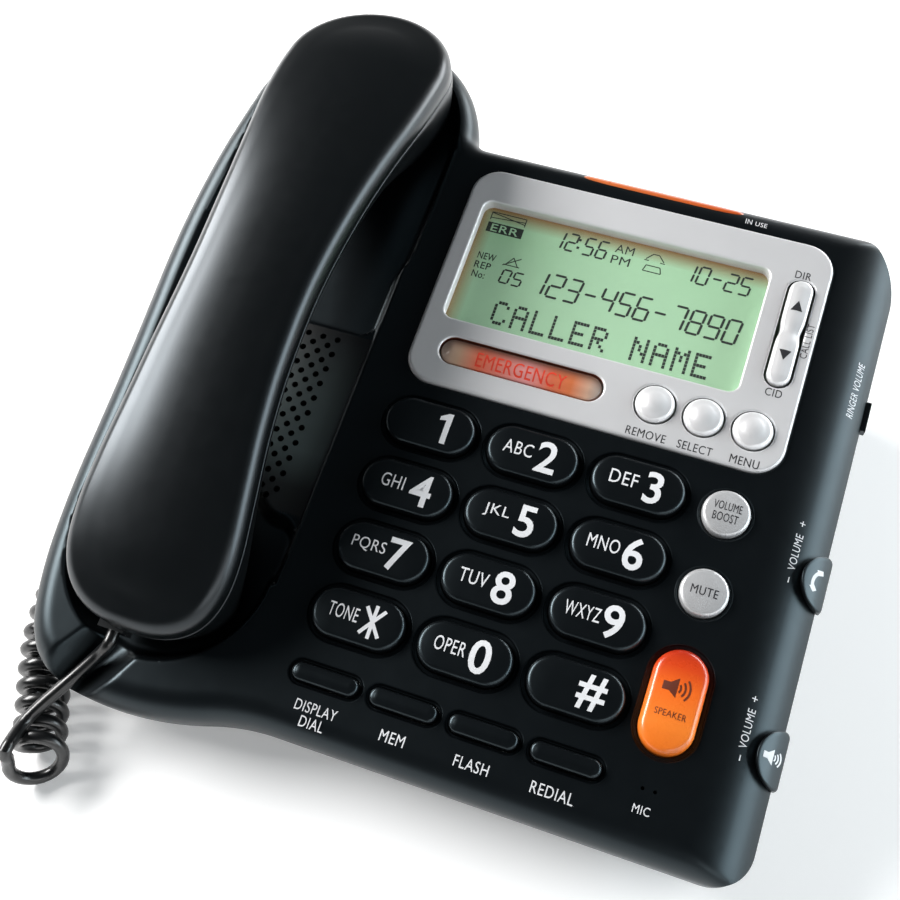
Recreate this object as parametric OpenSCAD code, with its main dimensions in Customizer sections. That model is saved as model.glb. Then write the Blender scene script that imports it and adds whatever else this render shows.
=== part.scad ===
// Corded desk telephone: a sloped base with a keypad and a display, and a handset on a curly cord.
// The panel frame has its origin at the keypad's centre: u to the right, v up the slope, h out of the panel.

/* [Base] */
// Tilt of the panel, rising towards the back, in degrees
panel_tilt = 15.6; // [14.5:0.1:16.5]
// Height of the keypad's centre above the desk
panel_height = 44; // [44:0.5:52]
// Keypad's centre to the right side
panel_right = 83.5; // [83:0.5:88]
// Keypad's centre to the front edge, along the slope
panel_front = 64.5; // [64:0.5:68]
// Keypad's centre to the rear edge, along the slope
panel_rear = 124.5; // [124:0.5:130]
// Wall of the two base shells
base_wall = 2.5; // [2:0.1:2.6]
// Depth of the top shell's skirt below the panel
skirt_depth = 12; // [12:0.5:14]
// Radius of the broad roll along the right side
side_roll_r = 22; // [21:0.5:24]
// Width of that roll, seen from above
side_roll_w = 17.5; // [16.5:0.5:18]
// Radius of the rolled edge along the front, the rear and the lobe
edge_roll_r = 8; // [7:0.25:9]
// Radius of the panel's front right corner
front_corner_r = 11; // [9:0.5:14]
// Radius of the panel's rear right corner
rear_corner_r = 14.5; // [12:0.5:17]
// How far the bottom shell's flange lies inside the skirt
flange_inset = 4; // [3:0.5:5]
// Thickness of that flange
flange_t = 2; // [1.6:0.1:2.4]

/* [Cradle] */
// Keypad's centre to the handset's centre line
cradle_offset = 87; // [86:0.5:90]
// Half the width of the cradle lobe
lobe_half_w = 38; // [37.5:0.5:41]
// How far the lobe's round rear end reaches past the handset
lobe_reach = 4; // [3.5:0.25:6]
// Keypad's centre to the front of the lobe
lobe_front = 71; // [70:0.5:74]
// Radius of the lobe's front left corner
lobe_corner_r = 20; // [18:0.5:22]
// Radius of the lobe's slow left hand curve
lobe_side_r = 270; // [250:5:320]
// Radius of the lobe's broad front curve
lobe_front_r = 90; // [80:1:110]
// Radius of the hollow between that curve and the straight front
lobe_blend_r = 60; // [50:1:70]
// Depth of the ear well and the mouth well
well_depth = 9; // [8:0.25:9]
// Radius of the ear well
ear_well_r = 33; // [32.5:0.5:34]
// Length of the straight stretch of the ear well
ear_well_run = 34.5; // [30:0.5:36]
// Radius of the mouth well
mouth_well_r = 30; // [29.5:0.5:31]
// Keypad's centre down to the mouth well's centre
mouth_well_v = 27; // [26.5:0.25:27.5]
// Half the width of the channel that joins the wells
channel_half_w = 31.5; // [30:0.5:32]
// Depth of the bridge between the wells
bridge_drop = 2; // [1.5:0.25:2.25]
// Width of the cord's notch in the front rim
notch_w = 14; // [12:0.5:15]
// Pitch of the loudspeaker holes
grille_pitch = 5; // [4.5:0.25:6]
// Diameter of a loudspeaker hole
grille_hole = 2; // [1.5:0.1:2.4]

/* [Keys] */
// Column pitch of the dial keys
key_pitch_x = 30; // [29:0.25:31]
// Row pitch of the dial keys
key_pitch_y = 19.3; // [18.5:0.1:20]
// Length of a dial key
key_l = 26; // [24:0.25:26.5]
// Width of a dial key
key_w = 13.8; // [12.5:0.1:14.5]
// Height of a dial key above the panel
key_rise = 2.6; // [2.2:0.1:3.2]
// Key travel
key_travel = 1.5; // [1:0.1:1.6]
// Clearance round every key
key_gap = 0.35; // [0.3:0.05:0.5]
// Width of the flange that keeps a key in
key_flange = 1; // [0.8:0.1:1.2]
// Pitch of the function keys
fn_pitch = 21.9; // [21:0.1:22.5]
// Length of a function key
fn_l = 18.6; // [17:0.2:18.8]
// Width of a function key
fn_w = 5; // [4.5:0.1:5.6]
// Keypad's centre down to the function keys
fn_v = 46.6; // [45.5:0.1:47]
// Keypad's centre to the right hand column of keys
side_u = 54.5; // [54:0.25:55]
// Diameter of the two round side keys
side_key_d = 13; // [12:0.25:13.5]
// Length of the loudspeaker key
speaker_l = 27.5; // [26:0.25:28]
// Width of the loudspeaker key
speaker_w = 14.5; // [13:0.25:14.5]

/* [Display] */
// Width of the display bezel
bezel_w = 109.3; // [108.8:0.1:110]
// Height of the display bezel, along the slope
bezel_h = 73.1; // [72.5:0.1:74]
// Keypad's centre to the bezel's centre, to the right
bezel_u = 10.65; // [10.4:0.05:10.9]
// Keypad's centre to the bezel's centre, up the slope
bezel_v = 78.5; // [78.2:0.1:78.8]
// Radius of the bezel's corners
bezel_r = 8.5; // [6:0.5:10]
// Height of the bezel above the panel
bezel_rise = 1; // [0.8:0.1:1.4]
// Depth of the bezel's seat in the panel
bezel_seat = 1.2; // [1:0.1:1.4]
// Height of the display window
window_h = 40.8; // [39:0.2:41]
// Diameter of the three round menu keys
menu_d = 11; // [10:0.25:11.4]
// Pitch of the menu keys
menu_pitch = 13.75; // [13.6:0.05:13.9]
// Width of the emergency key
emergency_w = 8; // [7:0.1:8.2]
// Length of the call list rocker
rocker_l = 34; // [32:0.5:34.5]
// Width of the call list rocker
rocker_w = 7; // [6.5:0.1:7]
// Radius of the rocker's pivot pin
rocker_pin_r = 1.2; // [1:0.05:1.3]

/* [Side controls] */
// Radius of a volume knob's half moon
knob_r = 7.8; // [7:0.1:8.2]
// Travel of a volume knob
knob_travel = 15; // [12:0.5:16]
// Thickness of a volume knob
knob_t = 1.85; // [1.5:0.05:2.2]
// How far the knobs and the ringer tab stand out of the side
side_proud = 1.7; // [1.2:0.1:2]
// Gap between a knob or tab and the side
knob_gap = 0.35; // [0.3:0.05:0.45]
// Travel of the ringer tab
ringer_travel = 8; // [6:0.5:9]

/* [Handset] */
// Length of the handset
handset_l = 203; // [201:0.5:204]
// Half the width of the ear end
ear_half_w = 25.5; // [24.5:0.25:26]
// Half the width of the mouth end
mouth_half_w = 24; // [23:0.25:24.5]
// Half the width of the grip
grip_half_w = 18.9; // [18:0.1:20]
// Height of the handset's back above the panel
handset_top = 35; // [33:0.5:37]
// Radius of the handset's curved back
back_r = 276; // [260:2:290]
// Thickness of the grip
grip_t = 24; // [22:0.25:24]
// Radius of the curve under the grip
under_r = 130; // [126:1:134]
// Depth of the handset's back shell
back_shell_t = 9; // [8:0.25:11]
// Wall of the handset's shells
handset_wall = 2; // [1.8:0.1:2.4]
// Clearance between the handset and the wells' floors
seat_gap = 0.4; // [0.3:0.05:0.6]

/* [Cord] */
// Diameter of the cord
cord_d = 3.6; // [3.4:0.1:3.8]
// Outer diameter of the curls
coil_od = 15; // [14:0.25:15.5]
// Number of curls
curls = 42; // [30:1:42]

/* [Hidden] */
$fn = 72;
eps = 0.01;

// The handset's ends in the panel frame: a longer one moves its ear end.
handset_front_v = -52;
handset_rear_v = handset_front_v + handset_l;
handset_v = (handset_front_v + handset_rear_v) / 2;
lobe_rear = handset_rear_v + lobe_reach - lobe_half_w;

// Panel frame in the part's own frame, with the part's box centred on the origin.
cradle_u = -cradle_offset;
lobe_left = cradle_offset + lobe_half_w;
tab_right = panel_right + side_proud;
panel_x = (lobe_left - tab_right) / 2;
front_reach = (lobe_front - edge_roll_r) * cos(panel_tilt) - edge_roll_r * sin(panel_tilt) + edge_roll_r;
rear_reach = (lobe_rear + lobe_half_w) * cos(panel_tilt) + skirt_depth * sin(panel_tilt);
panel_y = (front_reach - rear_reach) / 2;

// Where the lobe's broad front curve and the hollow beside it touch.
lobe_front_v = lobe_front_r - lobe_front;
lobe_front_u = cradle_u - 1;
blend_v = -panel_front - lobe_blend_r;
blend_u = lobe_front_u + sqrt(pow(lobe_front_r + lobe_blend_r, 2) - pow(lobe_front_v - blend_v, 2));
lobe_side_u = lobe_side_r - lobe_left;
lobe_side_v = -5;
front_centre = [lobe_front_u, lobe_front_v];
blend_centre = [blend_u, blend_v];
side_centre = [lobe_side_u, lobe_side_v];
// The corner's centre lies where it touches both the side curve and the front curve.
centres_apart = norm(front_centre - side_centre);
to_front = (front_centre - side_centre) / centres_apart;
corner_reach = (pow(lobe_side_r - lobe_corner_r, 2) - pow(lobe_front_r - lobe_corner_r, 2)
    + pow(centres_apart, 2)) / (2 * centres_apart);
corner_aside = sqrt(pow(lobe_side_r - lobe_corner_r, 2) - pow(corner_reach, 2));
corner_centre = side_centre + corner_reach * to_front + corner_aside * [-to_front[1], to_front[0]];
side_turn = turn_to(side_centre, corner_centre);
corner_turn = turn_to(front_centre, corner_centre);
blend_turn = turn_to(front_centre, blend_centre);
panel_left = cradle_u + channel_half_w - 3;
// The ear end leans in, so its well may end a little short of it.
ear_tuck = 0.2;
ear_well_rear = handset_rear_v - ear_tuck - ear_well_r;
ear_well_v = ear_well_rear - ear_well_run;
roll_u = panel_right - side_roll_w;
join_v = -40;
edge_w = 13.5;
fill_inset = 11;
// The lobe's ceiling is a little thicker than its rim, so that the two meet in an edge.
ceiling_step = 0.1;
past = 5;

// Levels inside the base, from the panel down.
membrane_top = -7;
board_top = -8.5;
board_t = 1.6;
stem_r = 2;
stem_clear = 0.1;
key_flange_t = 1;
flange_clear = 0.15;
key_step = 0.9;
key_step_h = 0.7;
well_rim = 1;
well_sink = 0.8;
board_left = -50;
membrane_left = -41.5;
membrane_front = -51.5;
membrane_edge = 8;
board_right = panel_right - 7;
board_front = -56;
board_rear = 108;

// Places on the panel.
boost_v = 28.4;
mute_v = 5.6;
speaker_v = -24.3;
mic_v = -47.1;
bezel_ledge = 2;
bezel_clear = 0.2;
window_margin = 22.3;
window_w = bezel_w - window_margin;
window_u = bezel_u - 5.65;
window_v = 83.65;
bezel_end = bezel_u + bezel_w / 2;
menu_u = bezel_end - 23.65;
menu_v = 53.6;
emergency_l = bezel_w - 61.3;
emergency_u = bezel_u - bezel_w / 2 + 8.7 + emergency_l / 2;
emergency_v = 53.4;
rocker_u = bezel_end - 7.3;
rocker_v = 85.5;
rocker_pin_h = -3;
rocker_rise = 1.3;
rocker_gap = 0.45;
pin_clear = 0.05;
rocker_ear_t = 1.2;
rocker_ear_gap = 0.3;
small_rise = 1.8;
lens_t = 1.6;
lcd_t = 2;
lcd_border = 2;
in_use_l = 50.5;
in_use_u = 11.65;
in_use_w = 3.6;
in_use_back = 5;
in_use_rise = 0.4;
in_use_deep = 6;
in_use_clear = 0.15;
knob_stem_u = panel_right - 4.5;
knob_low_v = 19;
knob_high_v = -29.2;
knob_stem_w = 2;
knob_stem_l = 5;
slot_clear = 0.3;
pot_w = 5;
pot_gap = 0.5;
pot_t = 1.8;
pot_end = 6;
ringer_v = 71;
ringer_tab_l = 9;
ringer_tab_h = 2.9;
ringer_h = -10.2;
ringer_stem_h = 1.4;
ringer_stem_l = 4;
ringer_body_w = 3;

// Bottom shell, with upright walls on a flat floor.
foot_t = 2.5;
foot_r = 7;
foot_sink = 0.5;
floor_z = foot_t - foot_sink;
base_left = 20 - lobe_left;
base_lobe_right = cradle_u + 27;
base_right = panel_right - 7.5;
base_front = -48;
base_lobe_front = -52;
base_rear = panel_rear * cos(panel_tilt);
base_lobe_rear = base_rear + 20;
base_corner_r = 8;
feet = [
    [base_left + 15, -38], [base_left + 15, 124], [base_right - 14, -18], [base_right - 14, base_rear - 30]
];
screws = [[base_left + 10, -18, 13], [base_left + 6.5, 104, 26], [68, -36, 12], [60, base_rear - 8, 26]];
boss_r = 4;
post_r = 3;
screw_r = 1.5;
screw_head_r = 2.8;
screw_head_t = 2;
screw_grip = 3;
screw_l = 11;
bore_clear = 0.05;
pilot_clear = 0.05;

// Sockets: the line socket in the rear wall, the cord socket in the left wall.
line_u = 20;
line_z = 17;
line_w = 13;
line_h = 12;
line_l = 16;
line_mouth_w = 10.2;
line_mouth_h = 6.8;
line_mouth_l = 13;
plug_w = 7.6;
plug_h = 6.6;
plug_l = 12;
plug_in = 8;
plug_clear = 0.1;
jack_wall = 1.4;
jack_l = 11;
base_jack_y = 119;
base_jack_z = 10;

// Under the cradle.
hook_u = cradle_u;
hook_back = 39;
hook_v = handset_rear_v - hook_back;
hook_w = 7;
hook_d = 5;
hook_gap = 0.3;
hook_lip = 1;
hook_lip_drop = 7;
hook_foot = 18;
hook_body_t = 5.5;
hook_body_w = 12;
hook_rise = 4;
speaker_cone_r = 20;
speaker_back_r = 13;
speaker_frame_t = 1.5;
speaker_cone_t = 6;
speaker_back_t = 8;
loudspeaker_v = 26;
grille_r = 19;
grille_margin = 3.5;

// Handset, about its own centre line.
cap_h = seat_gap - well_depth;
ear_lean = 4;
mouth_lean = 2.5;
end_h = 8;
end_past = 1;
mouth_end_r = 34;
waist_r = 500;
back_centre_h = handset_top - back_r;
under_centre_h = handset_top - grip_t - under_r;
handset_jack_u = cradle_u - 6;
handset_jack_h = -0.5;
handset_plug_v = handset_front_v - 0.5;
handset_socket_in = 5;
receiver_v = handset_rear_v - 18;
receiver_r = 11.5;
receiver_t = 6;
capsule_v = handset_front_v + 22;
capsule_r = 5;
capsule_t = 5;
ear_hole_r = 1.2;
ear_hole_ring = 6;
handset_screw_v = [handset_v - 33.5, handset_v + 33.5];
handset_boss_r = 3.2;
handset_boss_gap = 0.1;

// Curly cord: the handset's lead, the curls and the base's lead, as points beside the keypad's centre.
lead_sides = 8;
curl_sides = 6;
curl_rings = 8;
handset_exit = panel_point(handset_jack_u, handset_plug_v, handset_jack_h);
lead_out = [0, -cos(panel_tilt), -sin(panel_tilt)];
lead_points = [
    [-95.5, -56, 25], [-99.5, -61, 21.5], [-103.2, -66.6, 19], [-106.6, -72.3, 17], [-108.8, -77.5, 15.7]
];
coil_axis = [
    [-103, -84], [-107.6, -75], [-112.6, -65.5], [-117.7, -55.5],
    [-121.5, -46.5], [-123.5, -38], [-124, -28], [-124, 102]
];
coil_r = (coil_od - cord_d) / 2;
coil_z = coil_od / 2 + 0.2;
first_curl_r = 7.2;
first_curl_turns = 1.2;
first_curl_lean = 5;
curl_start = 158;
base_lead_points = [[-129, 114, 8.6], [-126.5, 117.5, 9.4], [-122, 119, 10], [-117, 119, 10]];

// Direction from one point to another, in degrees from the u axis.
function turn_to(a, b) = atan2(b[1] - a[1], b[0] - a[0]);
function key_u(col) = (col - 1) * key_pitch_x;
function key_v(row) = (1.5 - row) * key_pitch_y;
function fn_u(i) = (i - 1.5) * fn_pitch;
// A point of the panel frame, beside the keypad's centre and above the desk.
function panel_point(u, v, h) = [
    u, v * cos(panel_tilt) - h * sin(panel_tilt), panel_height + v * sin(panel_tilt) + h * cos(panel_tilt)
];

module on_panel() {
    translate([panel_x, panel_y, panel_height]) rotate([panel_tilt, 0, 0]) children();
}

module on_desk() {
    translate([panel_x, panel_y, 0]) children();
}

// A solid pulled along u from a drawing whose x is v and whose y is h.
module along_u(from, to) {
    translate([from, 0, 0]) rotate([90, 0, 90]) linear_extrude(to - from) children();
}

// A solid pulled along v from a drawing whose x is u and whose y is h.
module along_v(from, to) {
    translate([0, to, 0]) rotate([90, 0, 0]) linear_extrude(to - from) children();
}

module span(low, high) {
    translate(low) cube([for (i = [0 : 2]) high[i] - low[i]]);
}

module area(low, high) {
    translate(low) square([high[0] - low[0], high[1] - low[1]]);
}

module pill_area(l, w) {
    square([l - w, w], center = true);
    for (side = [-1, 1]) translate([side * (l - w) / 2, 0]) circle(d = w);
}

module pill(l, w, t) {
    linear_extrude(t) pill_area(l, w);
}

module rounded_area(low, high, r) {
    area([low[0] + r, low[1]], [high[0] - r, high[1]]);
    area([low[0], low[1] + r], [high[0], high[1] - r]);
    for (u = [low[0] + r, high[0] - r]) for (v = [low[1] + r, high[1] - r]) translate([u, v]) circle(r);
}

// Base outline

module panel_plan(d) {
    right = panel_right - d;
    front = d - panel_front;
    rear = panel_rear - d;
    area([panel_left, join_v], [panel_right - rear_corner_r, rear]);
    area([panel_left, join_v], [right, panel_rear - rear_corner_r]);
    area([blend_u, front_corner_r - panel_front], [right, join_v + 1]);
    area([blend_u, front], [panel_right - front_corner_r, join_v + 1]);
    translate([panel_right - front_corner_r, front_corner_r - panel_front]) circle(front_corner_r - d);
    translate([panel_right - rear_corner_r, panel_rear - rear_corner_r]) circle(rear_corner_r - d);
}

// A run of points on a curve.
function bow(centre, r, from, to, steps) = [for (i = [0 : steps]) let (a = from + (to - from) * i / steps)
    centre + r * [cos(a), sin(a)]];

// The lobe's floor plan, drawn in by d, up to the rear end's centre.
module lobe_plan(d) {
    polygon(concat(
        bow(blend_centre, lobe_blend_r + d, 90, blend_turn + 180, 4),
        bow(front_centre, lobe_front_r - d, blend_turn, corner_turn, 5),
        bow(corner_centre, lobe_corner_r - d, corner_turn, side_turn, 6),
        bow(side_centre, lobe_side_r - d, side_turn, -180, 3),
        [[d - lobe_left, lobe_rear], [panel_left + 1, lobe_rear], [panel_left + 1, join_v], [blend_u, join_v]]
    ));
}

// Section across the panel: flat, then the broad roll down the right side.
module side_section(d, deep) {
    intersection() {
        area([panel_left - past, -deep], [panel_right + past, -d]);
        union() {
            area([panel_left - past, -deep], [roll_u, -d]);
            translate([roll_u, -side_roll_r]) circle(side_roll_r - d);
        }
    }
}

// Section along the slope, with a roll at the front and at the rear.
module slope_section(d, deep) {
    intersection() {
        area([d - panel_front, -deep], [panel_rear - d, -d]);
        union() {
            area([edge_roll_r - panel_front, -deep], [panel_rear - edge_roll_r, -d]);
            area([d - panel_front, -deep], [panel_rear - d, -edge_roll_r]);
            translate([edge_roll_r - panel_front, -edge_roll_r]) circle(edge_roll_r - d);
            translate([panel_rear - edge_roll_r, -edge_roll_r]) circle(edge_roll_r - d);
        }
    }
}

// Section of a rolled edge whose wall stands at x = 0, reaching inward by w.
module edge_section(d, deep, w) {
    intersection() {
        area([-w, -deep], [-d, -d]);
        union() {
            area([-w, -deep], [-edge_roll_r, -d]);
            area([-w, -deep], [-d, -edge_roll_r]);
            translate([-edge_roll_r, -edge_roll_r]) circle(edge_roll_r - d);
        }
    }
}

// A rolled edge carried round a centre, from one direction to another.
module rolled_bow(centre, r, from, to, d, deep, w) {
    translate(centre) rotate([0, 0, from]) rotate_extrude(angle = to - from)
        translate([r, 0]) edge_section(d, deep, w);
}

// The whole top of the base as a solid, drawn in by d and pulled down to the given depth.
module base_form(d, deep) {
    intersection() {
        translate([0, 0, -deep]) linear_extrude(deep - d) panel_plan(d);
        along_v(-panel_front - past, panel_rear + past) side_section(d, deep);
        along_u(panel_left - past, panel_right + past) slope_section(d, deep);
    }
    translate([0, 0, -deep]) linear_extrude(deep - d - (d > 0 ? ceiling_step : 0)) polygon(concat(
        bow(blend_centre, lobe_blend_r + fill_inset, 90, blend_turn + 180, 3),
        bow(front_centre, lobe_front_r - fill_inset, blend_turn, corner_turn, 4),
        bow(corner_centre, lobe_corner_r - fill_inset, corner_turn, side_turn, 3),
        bow(side_centre, lobe_side_r - fill_inset, side_turn, -180, 2),
        [[fill_inset - lobe_left, lobe_rear], [panel_left + 1, lobe_rear]],
        [[panel_left + 1, join_v], [blend_u, join_v]]
    ));
    along_v(lobe_side_v, lobe_rear) translate([-lobe_left, 0]) mirror([1, 0]) edge_section(d, deep, edge_w);
    rolled_bow(side_centre, lobe_side_r, -180, side_turn, d, deep, edge_w);
    rolled_bow(corner_centre, lobe_corner_r, side_turn, corner_turn, d, deep, edge_w);
    rolled_bow(front_centre, lobe_front_r, corner_turn, blend_turn, d, deep, edge_w);
    translate(blend_centre) rotate([0, 0, 90]) rotate_extrude(angle = blend_turn + 90)
        translate([lobe_blend_r, 0]) mirror([1, 0]) edge_section(d, deep, edge_w);
    rolled_bow([cradle_u, lobe_rear], lobe_half_w, 0, 180, d, deep, lobe_half_w);
}

module base_plan(d) {
    panel_plan(d);
    lobe_plan(d);
    translate([cradle_u, lobe_rear]) circle(lobe_half_w - d);
}

// The two wells and the channel between them, grown by d.
module well_forms(d, sink) {
    translate([cradle_u, (ear_well_v + ear_well_rear) / 2, -well_depth - sink]) rotate([0, 0, 90])
        pill(ear_well_run + 2 * (ear_well_r + d), 2 * (ear_well_r + d), well_depth + sink + 1);
    translate([cradle_u, -mouth_well_v, -well_depth - sink])
        cylinder(r = mouth_well_r + d, h = well_depth + sink + 1);
    span([cradle_u - channel_half_w - d, -mouth_well_v, -bridge_drop - sink],
        [cradle_u + channel_half_w + d, ear_well_rear, 1]);
}

// The notch in the front rim that lets the cord out, grown by d.
module cord_notch(d) {
    translate([handset_jack_u + 2.5, 5 - mouth_well_v - mouth_well_r, 0])
    rotate([0, 0, 59]) rotate([0, -96, 0]) {
        cylinder(d = notch_w + 2 * d, h = 34);
        span([0, -notch_w / 2 - d, 0], [20, notch_w / 2 + d, 34]);
    }
}

module grille_holes() {
    row_step = grille_pitch * sqrt(3) / 2;
    rows = floor(grille_r * 1.4 / row_step);
    for (row = [-rows : rows]) for (col = [-4 : 4]) {
        u = (col + (row % 2 == 0 ? 0 : 0.5)) * grille_pitch;
        v = row * row_step + loudspeaker_v;
        from_mouth = norm([u, v + mouth_well_v]) - mouth_well_r;
        from_ear = norm([u, v - ear_well_v]) - ear_well_r;
        if (abs(u) < grille_r && min(from_mouth, from_ear) > grille_margin)
            translate([cradle_u + u, v, -bridge_drop - base_wall - 1])
                cylinder(d = grille_hole, h = base_wall + 2, $fn = 16);
    }
}

// Key openings

module key_opening(l, w) {
    translate([0, 0, -base_wall - 1]) pill(l + 2 * key_gap, w + 2 * key_gap, base_wall + 2);
    rim = key_gap + well_rim;
    translate([0, 0, -well_sink]) pill(l + 2 * rim, w + 2 * rim, well_sink + 1);
}

module panel_openings() {
    for (col = [0 : 2]) for (row = [0 : 3]) translate([key_u(col), key_v(row), 0]) key_opening(key_l, key_w);
    for (i = [0 : 3]) translate([fn_u(i), -fn_v, 0]) key_opening(fn_l, fn_w);
    for (v = [boost_v, mute_v]) translate([side_u, v, 0]) key_opening(side_key_d + eps, side_key_d);
    translate([side_u, speaker_v, 0]) rotate([0, 0, 90]) key_opening(speaker_l, speaker_w);
    for (i = [-1 : 1]) translate([side_u + i * 1.6, mic_v, -base_wall - 1])
        cylinder(d = 1, h = base_wall + 2, $fn = 16);
    bezel_opening();
    translate([in_use_u - in_use_l / 2 - in_use_clear, panel_rear - in_use_back - in_use_clear, -in_use_deep])
        cube([in_use_l + 2 * in_use_clear, in_use_w + 2 * in_use_clear, in_use_deep + 2]);
    for (v = [knob_low_v, knob_high_v])
        span([knob_stem_u - knob_stem_w / 2 - slot_clear, v - knob_stem_l / 2 - slot_clear,
            -skirt_depth + 0.5],
            [knob_stem_u + knob_stem_w / 2 + slot_clear, v + knob_travel + knob_stem_l / 2 + slot_clear, 1]);
    span([panel_right - base_wall - 1, ringer_v - ringer_travel - ringer_stem_l / 2 - slot_clear,
            ringer_h - ringer_stem_h / 2 - slot_clear],
        [panel_right + 1, ringer_v + ringer_stem_l / 2 + slot_clear,
            ringer_h + ringer_stem_h / 2 + slot_clear]);
}

module bezel_area(d) {
    translate([bezel_u, bezel_v])
        rounded_area([-bezel_w / 2 - d, -bezel_h / 2 - d], [bezel_w / 2 + d, bezel_h / 2 + d], bezel_r + d);
}

module bezel_opening() {
    translate([0, 0, -bezel_seat]) linear_extrude(bezel_seat + 1) bezel_area(bezel_clear);
    translate([0, 0, -base_wall - 1]) linear_extrude(base_wall + 2) bezel_area(-bezel_ledge);
}

module board_posts() {
    rear_post = [board_right - 6.5, board_rear - 3.5];
    for (p = [[board_left + 2.8, 60], rear_post, [board_left + 5, -40], [66, board_front + 4]])
        translate([p[0], p[1], board_top]) cylinder(r = post_r, h = -board_top - base_wall + 1);
}

module screw_posts() {
    for (s = screws) translate([s[0], s[1], s[2]]) cylinder(r = post_r, h = panel_height + 20);
}

// Base shells

module top_housing() {
    color("#1d2224") difference() {
        union() {
            on_panel() difference() {
                base_form(0, skirt_depth);
                base_form(base_wall, skirt_depth + 1);
            }
            on_panel() intersection() {
                base_form(0, skirt_depth);
                well_forms(base_wall, base_wall);
            }
            on_panel() intersection() {
                base_form(0, skirt_depth);
                cord_notch(base_wall);
            }
            on_panel() board_posts();
            intersection() {
                on_desk() screw_posts();
                on_panel() base_form(base_wall / 2, panel_height);
            }
        }
        on_panel() {
            well_forms(0, 0);
            cord_notch(0);
            grille_holes();
            panel_openings();
            translate([hook_u, hook_v, -well_depth - base_wall / 2])
                cube([hook_w + 2 * hook_gap, hook_d + 2 * hook_gap, base_wall + 2], center = true);
        }
        on_desk() for (s = screws) translate([s[0], s[1], s[2] - 1])
            cylinder(r = screw_r - pilot_clear, h = screw_l - screw_grip + 2);
    }
}

module base_area(d) {
    r = base_corner_r - d;
    rounded_area([base_left + d, base_lobe_front + d], [base_lobe_right + 20, base_rear - d], r);
    rounded_area([base_left + d, base_rear - 40], [base_lobe_right - d, base_lobe_rear - d], r);
    rounded_area([base_lobe_right - 20, base_front + d], [base_right - d, base_rear - d], r);
}

// Everything below a level under the panel.
module below_panel(depth) {
    on_panel() span([-200, -200, -200], [200, 250, -depth]);
}

module bottom_housing() {
    color("#181c1e") difference() {
        union() {
            on_panel() translate([0, 0, -skirt_depth - flange_t])
                linear_extrude(flange_t) base_plan(flange_inset);
            intersection() {
                on_desk() translate([0, 0, floor_z]) linear_extrude(panel_height + 60) base_area(0);
                below_panel(skirt_depth);
            }
        }
        difference() {
            on_desk() translate([0, 0, floor_z + base_wall])
                linear_extrude(panel_height + 60) base_area(base_wall);
            on_desk() for (s = screws) cylinder_at(s, boss_r, 0, s[2]);
            on_panel() span([hook_u - hook_body_w / 2, hook_v - hook_body_w / 2, -200],
                [hook_u + hook_body_w / 2, hook_v + hook_body_w / 2, -hook_foot - hook_gap - hook_body_t]);
        }
        on_desk() for (s = screws) {
            cylinder_at(s, screw_r + bore_clear, 0, s[2] + 1);
            cylinder_at(s, screw_head_r + 0.4, 0, s[2] - screw_grip);
        }
        on_desk() for (f = feet) cylinder_at(f, foot_r + 0.1, 0, foot_t);
        on_desk() translate([line_u - line_w / 2, base_rear - base_wall - 1, line_z - line_h / 2])
            cube([line_w, base_wall + 2, line_h]);
        on_desk() base_jack_box(0, base_wall + 2, -1);
    }
}

module cylinder_at(p, r, low, high) {
    translate([p[0], p[1], low]) cylinder(r = r, h = high - low);
}

module rubber_feet() {
    color("#141414") on_desk() for (f = feet) cylinder_at(f, foot_r, 0, foot_t);
}

module housing_screws() {
    color("silver") on_desk() for (s = screws) {
        head = s[2] - screw_grip - screw_head_t;
        difference() {
            union() {
                cylinder_at(s, screw_head_r, head, head + screw_head_t);
                cylinder_at(s, screw_r - 2 * pilot_clear, head + 1, head + screw_head_t + screw_l);
            }
            translate([s[0], s[1], head]) for (turn = [0, 90]) rotate([0, 0, turn])
                cube([2 * screw_head_r - 2, 0.8, 1.4], center = true);
        }
    }
}

// Display

module display_bezel() {
    color("silver") on_panel() difference() {
        union() {
            translate([0, 0, -bezel_seat]) linear_extrude(bezel_seat + bezel_rise) bezel_area(0);
            ear_off = rocker_w / 2 + rocker_ear_gap + rocker_ear_t / 2;
            for (side = [-1, 1]) translate([rocker_u + side * ear_off, rocker_v, 0])
                span([-rocker_ear_t / 2, -3, rocker_pin_h - 2], [rocker_ear_t / 2, 3, -bezel_seat + eps]);
        }
        translate([0, 0, -10]) linear_extrude(20) {
            translate([window_u, window_v])
                rounded_area([-window_w / 2, -window_h / 2], [window_w / 2, window_h / 2], 3);
            translate([emergency_u, emergency_v])
                pill_area(emergency_l + 2 * key_gap, emergency_w + 2 * key_gap);
            for (i = [-1 : 1]) translate([menu_u + i * menu_pitch, menu_v]) circle(d = menu_d + 2 * key_gap);
            translate([rocker_u, rocker_v]) rotate(90)
                pill_area(rocker_l + 2 * rocker_gap, rocker_w + 2 * rocker_gap - 0.3);
        }
        translate([rocker_u, rocker_v, rocker_pin_h]) rotate([0, 90, 0])
            cylinder(r = rocker_pin_r + pin_clear, h = rocker_w + 10, center = true);
    }
}

module lcd_slab(low, t, border) {
    translate([window_u, window_v, low]) span([-window_w / 2 - border, -window_h / 2 - border, 0],
        [window_w / 2 + border, window_h / 2 + border, t]);
}

module display_lens() {
    color("#c8d8c8") on_panel() lcd_slab(-bezel_seat - lens_t, lens_t, lcd_border);
}

module lcd_panel() {
    color("#7fb98a") on_panel() lcd_slab(-bezel_seat - lens_t - lcd_t, lcd_t, lcd_border);
}

module lcd_backlight() {
    color("#e8e8e0") on_panel()
        lcd_slab(board_top, -bezel_seat - lens_t - lcd_t - board_top, lcd_border - 0.5);
}

// Keys

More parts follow.
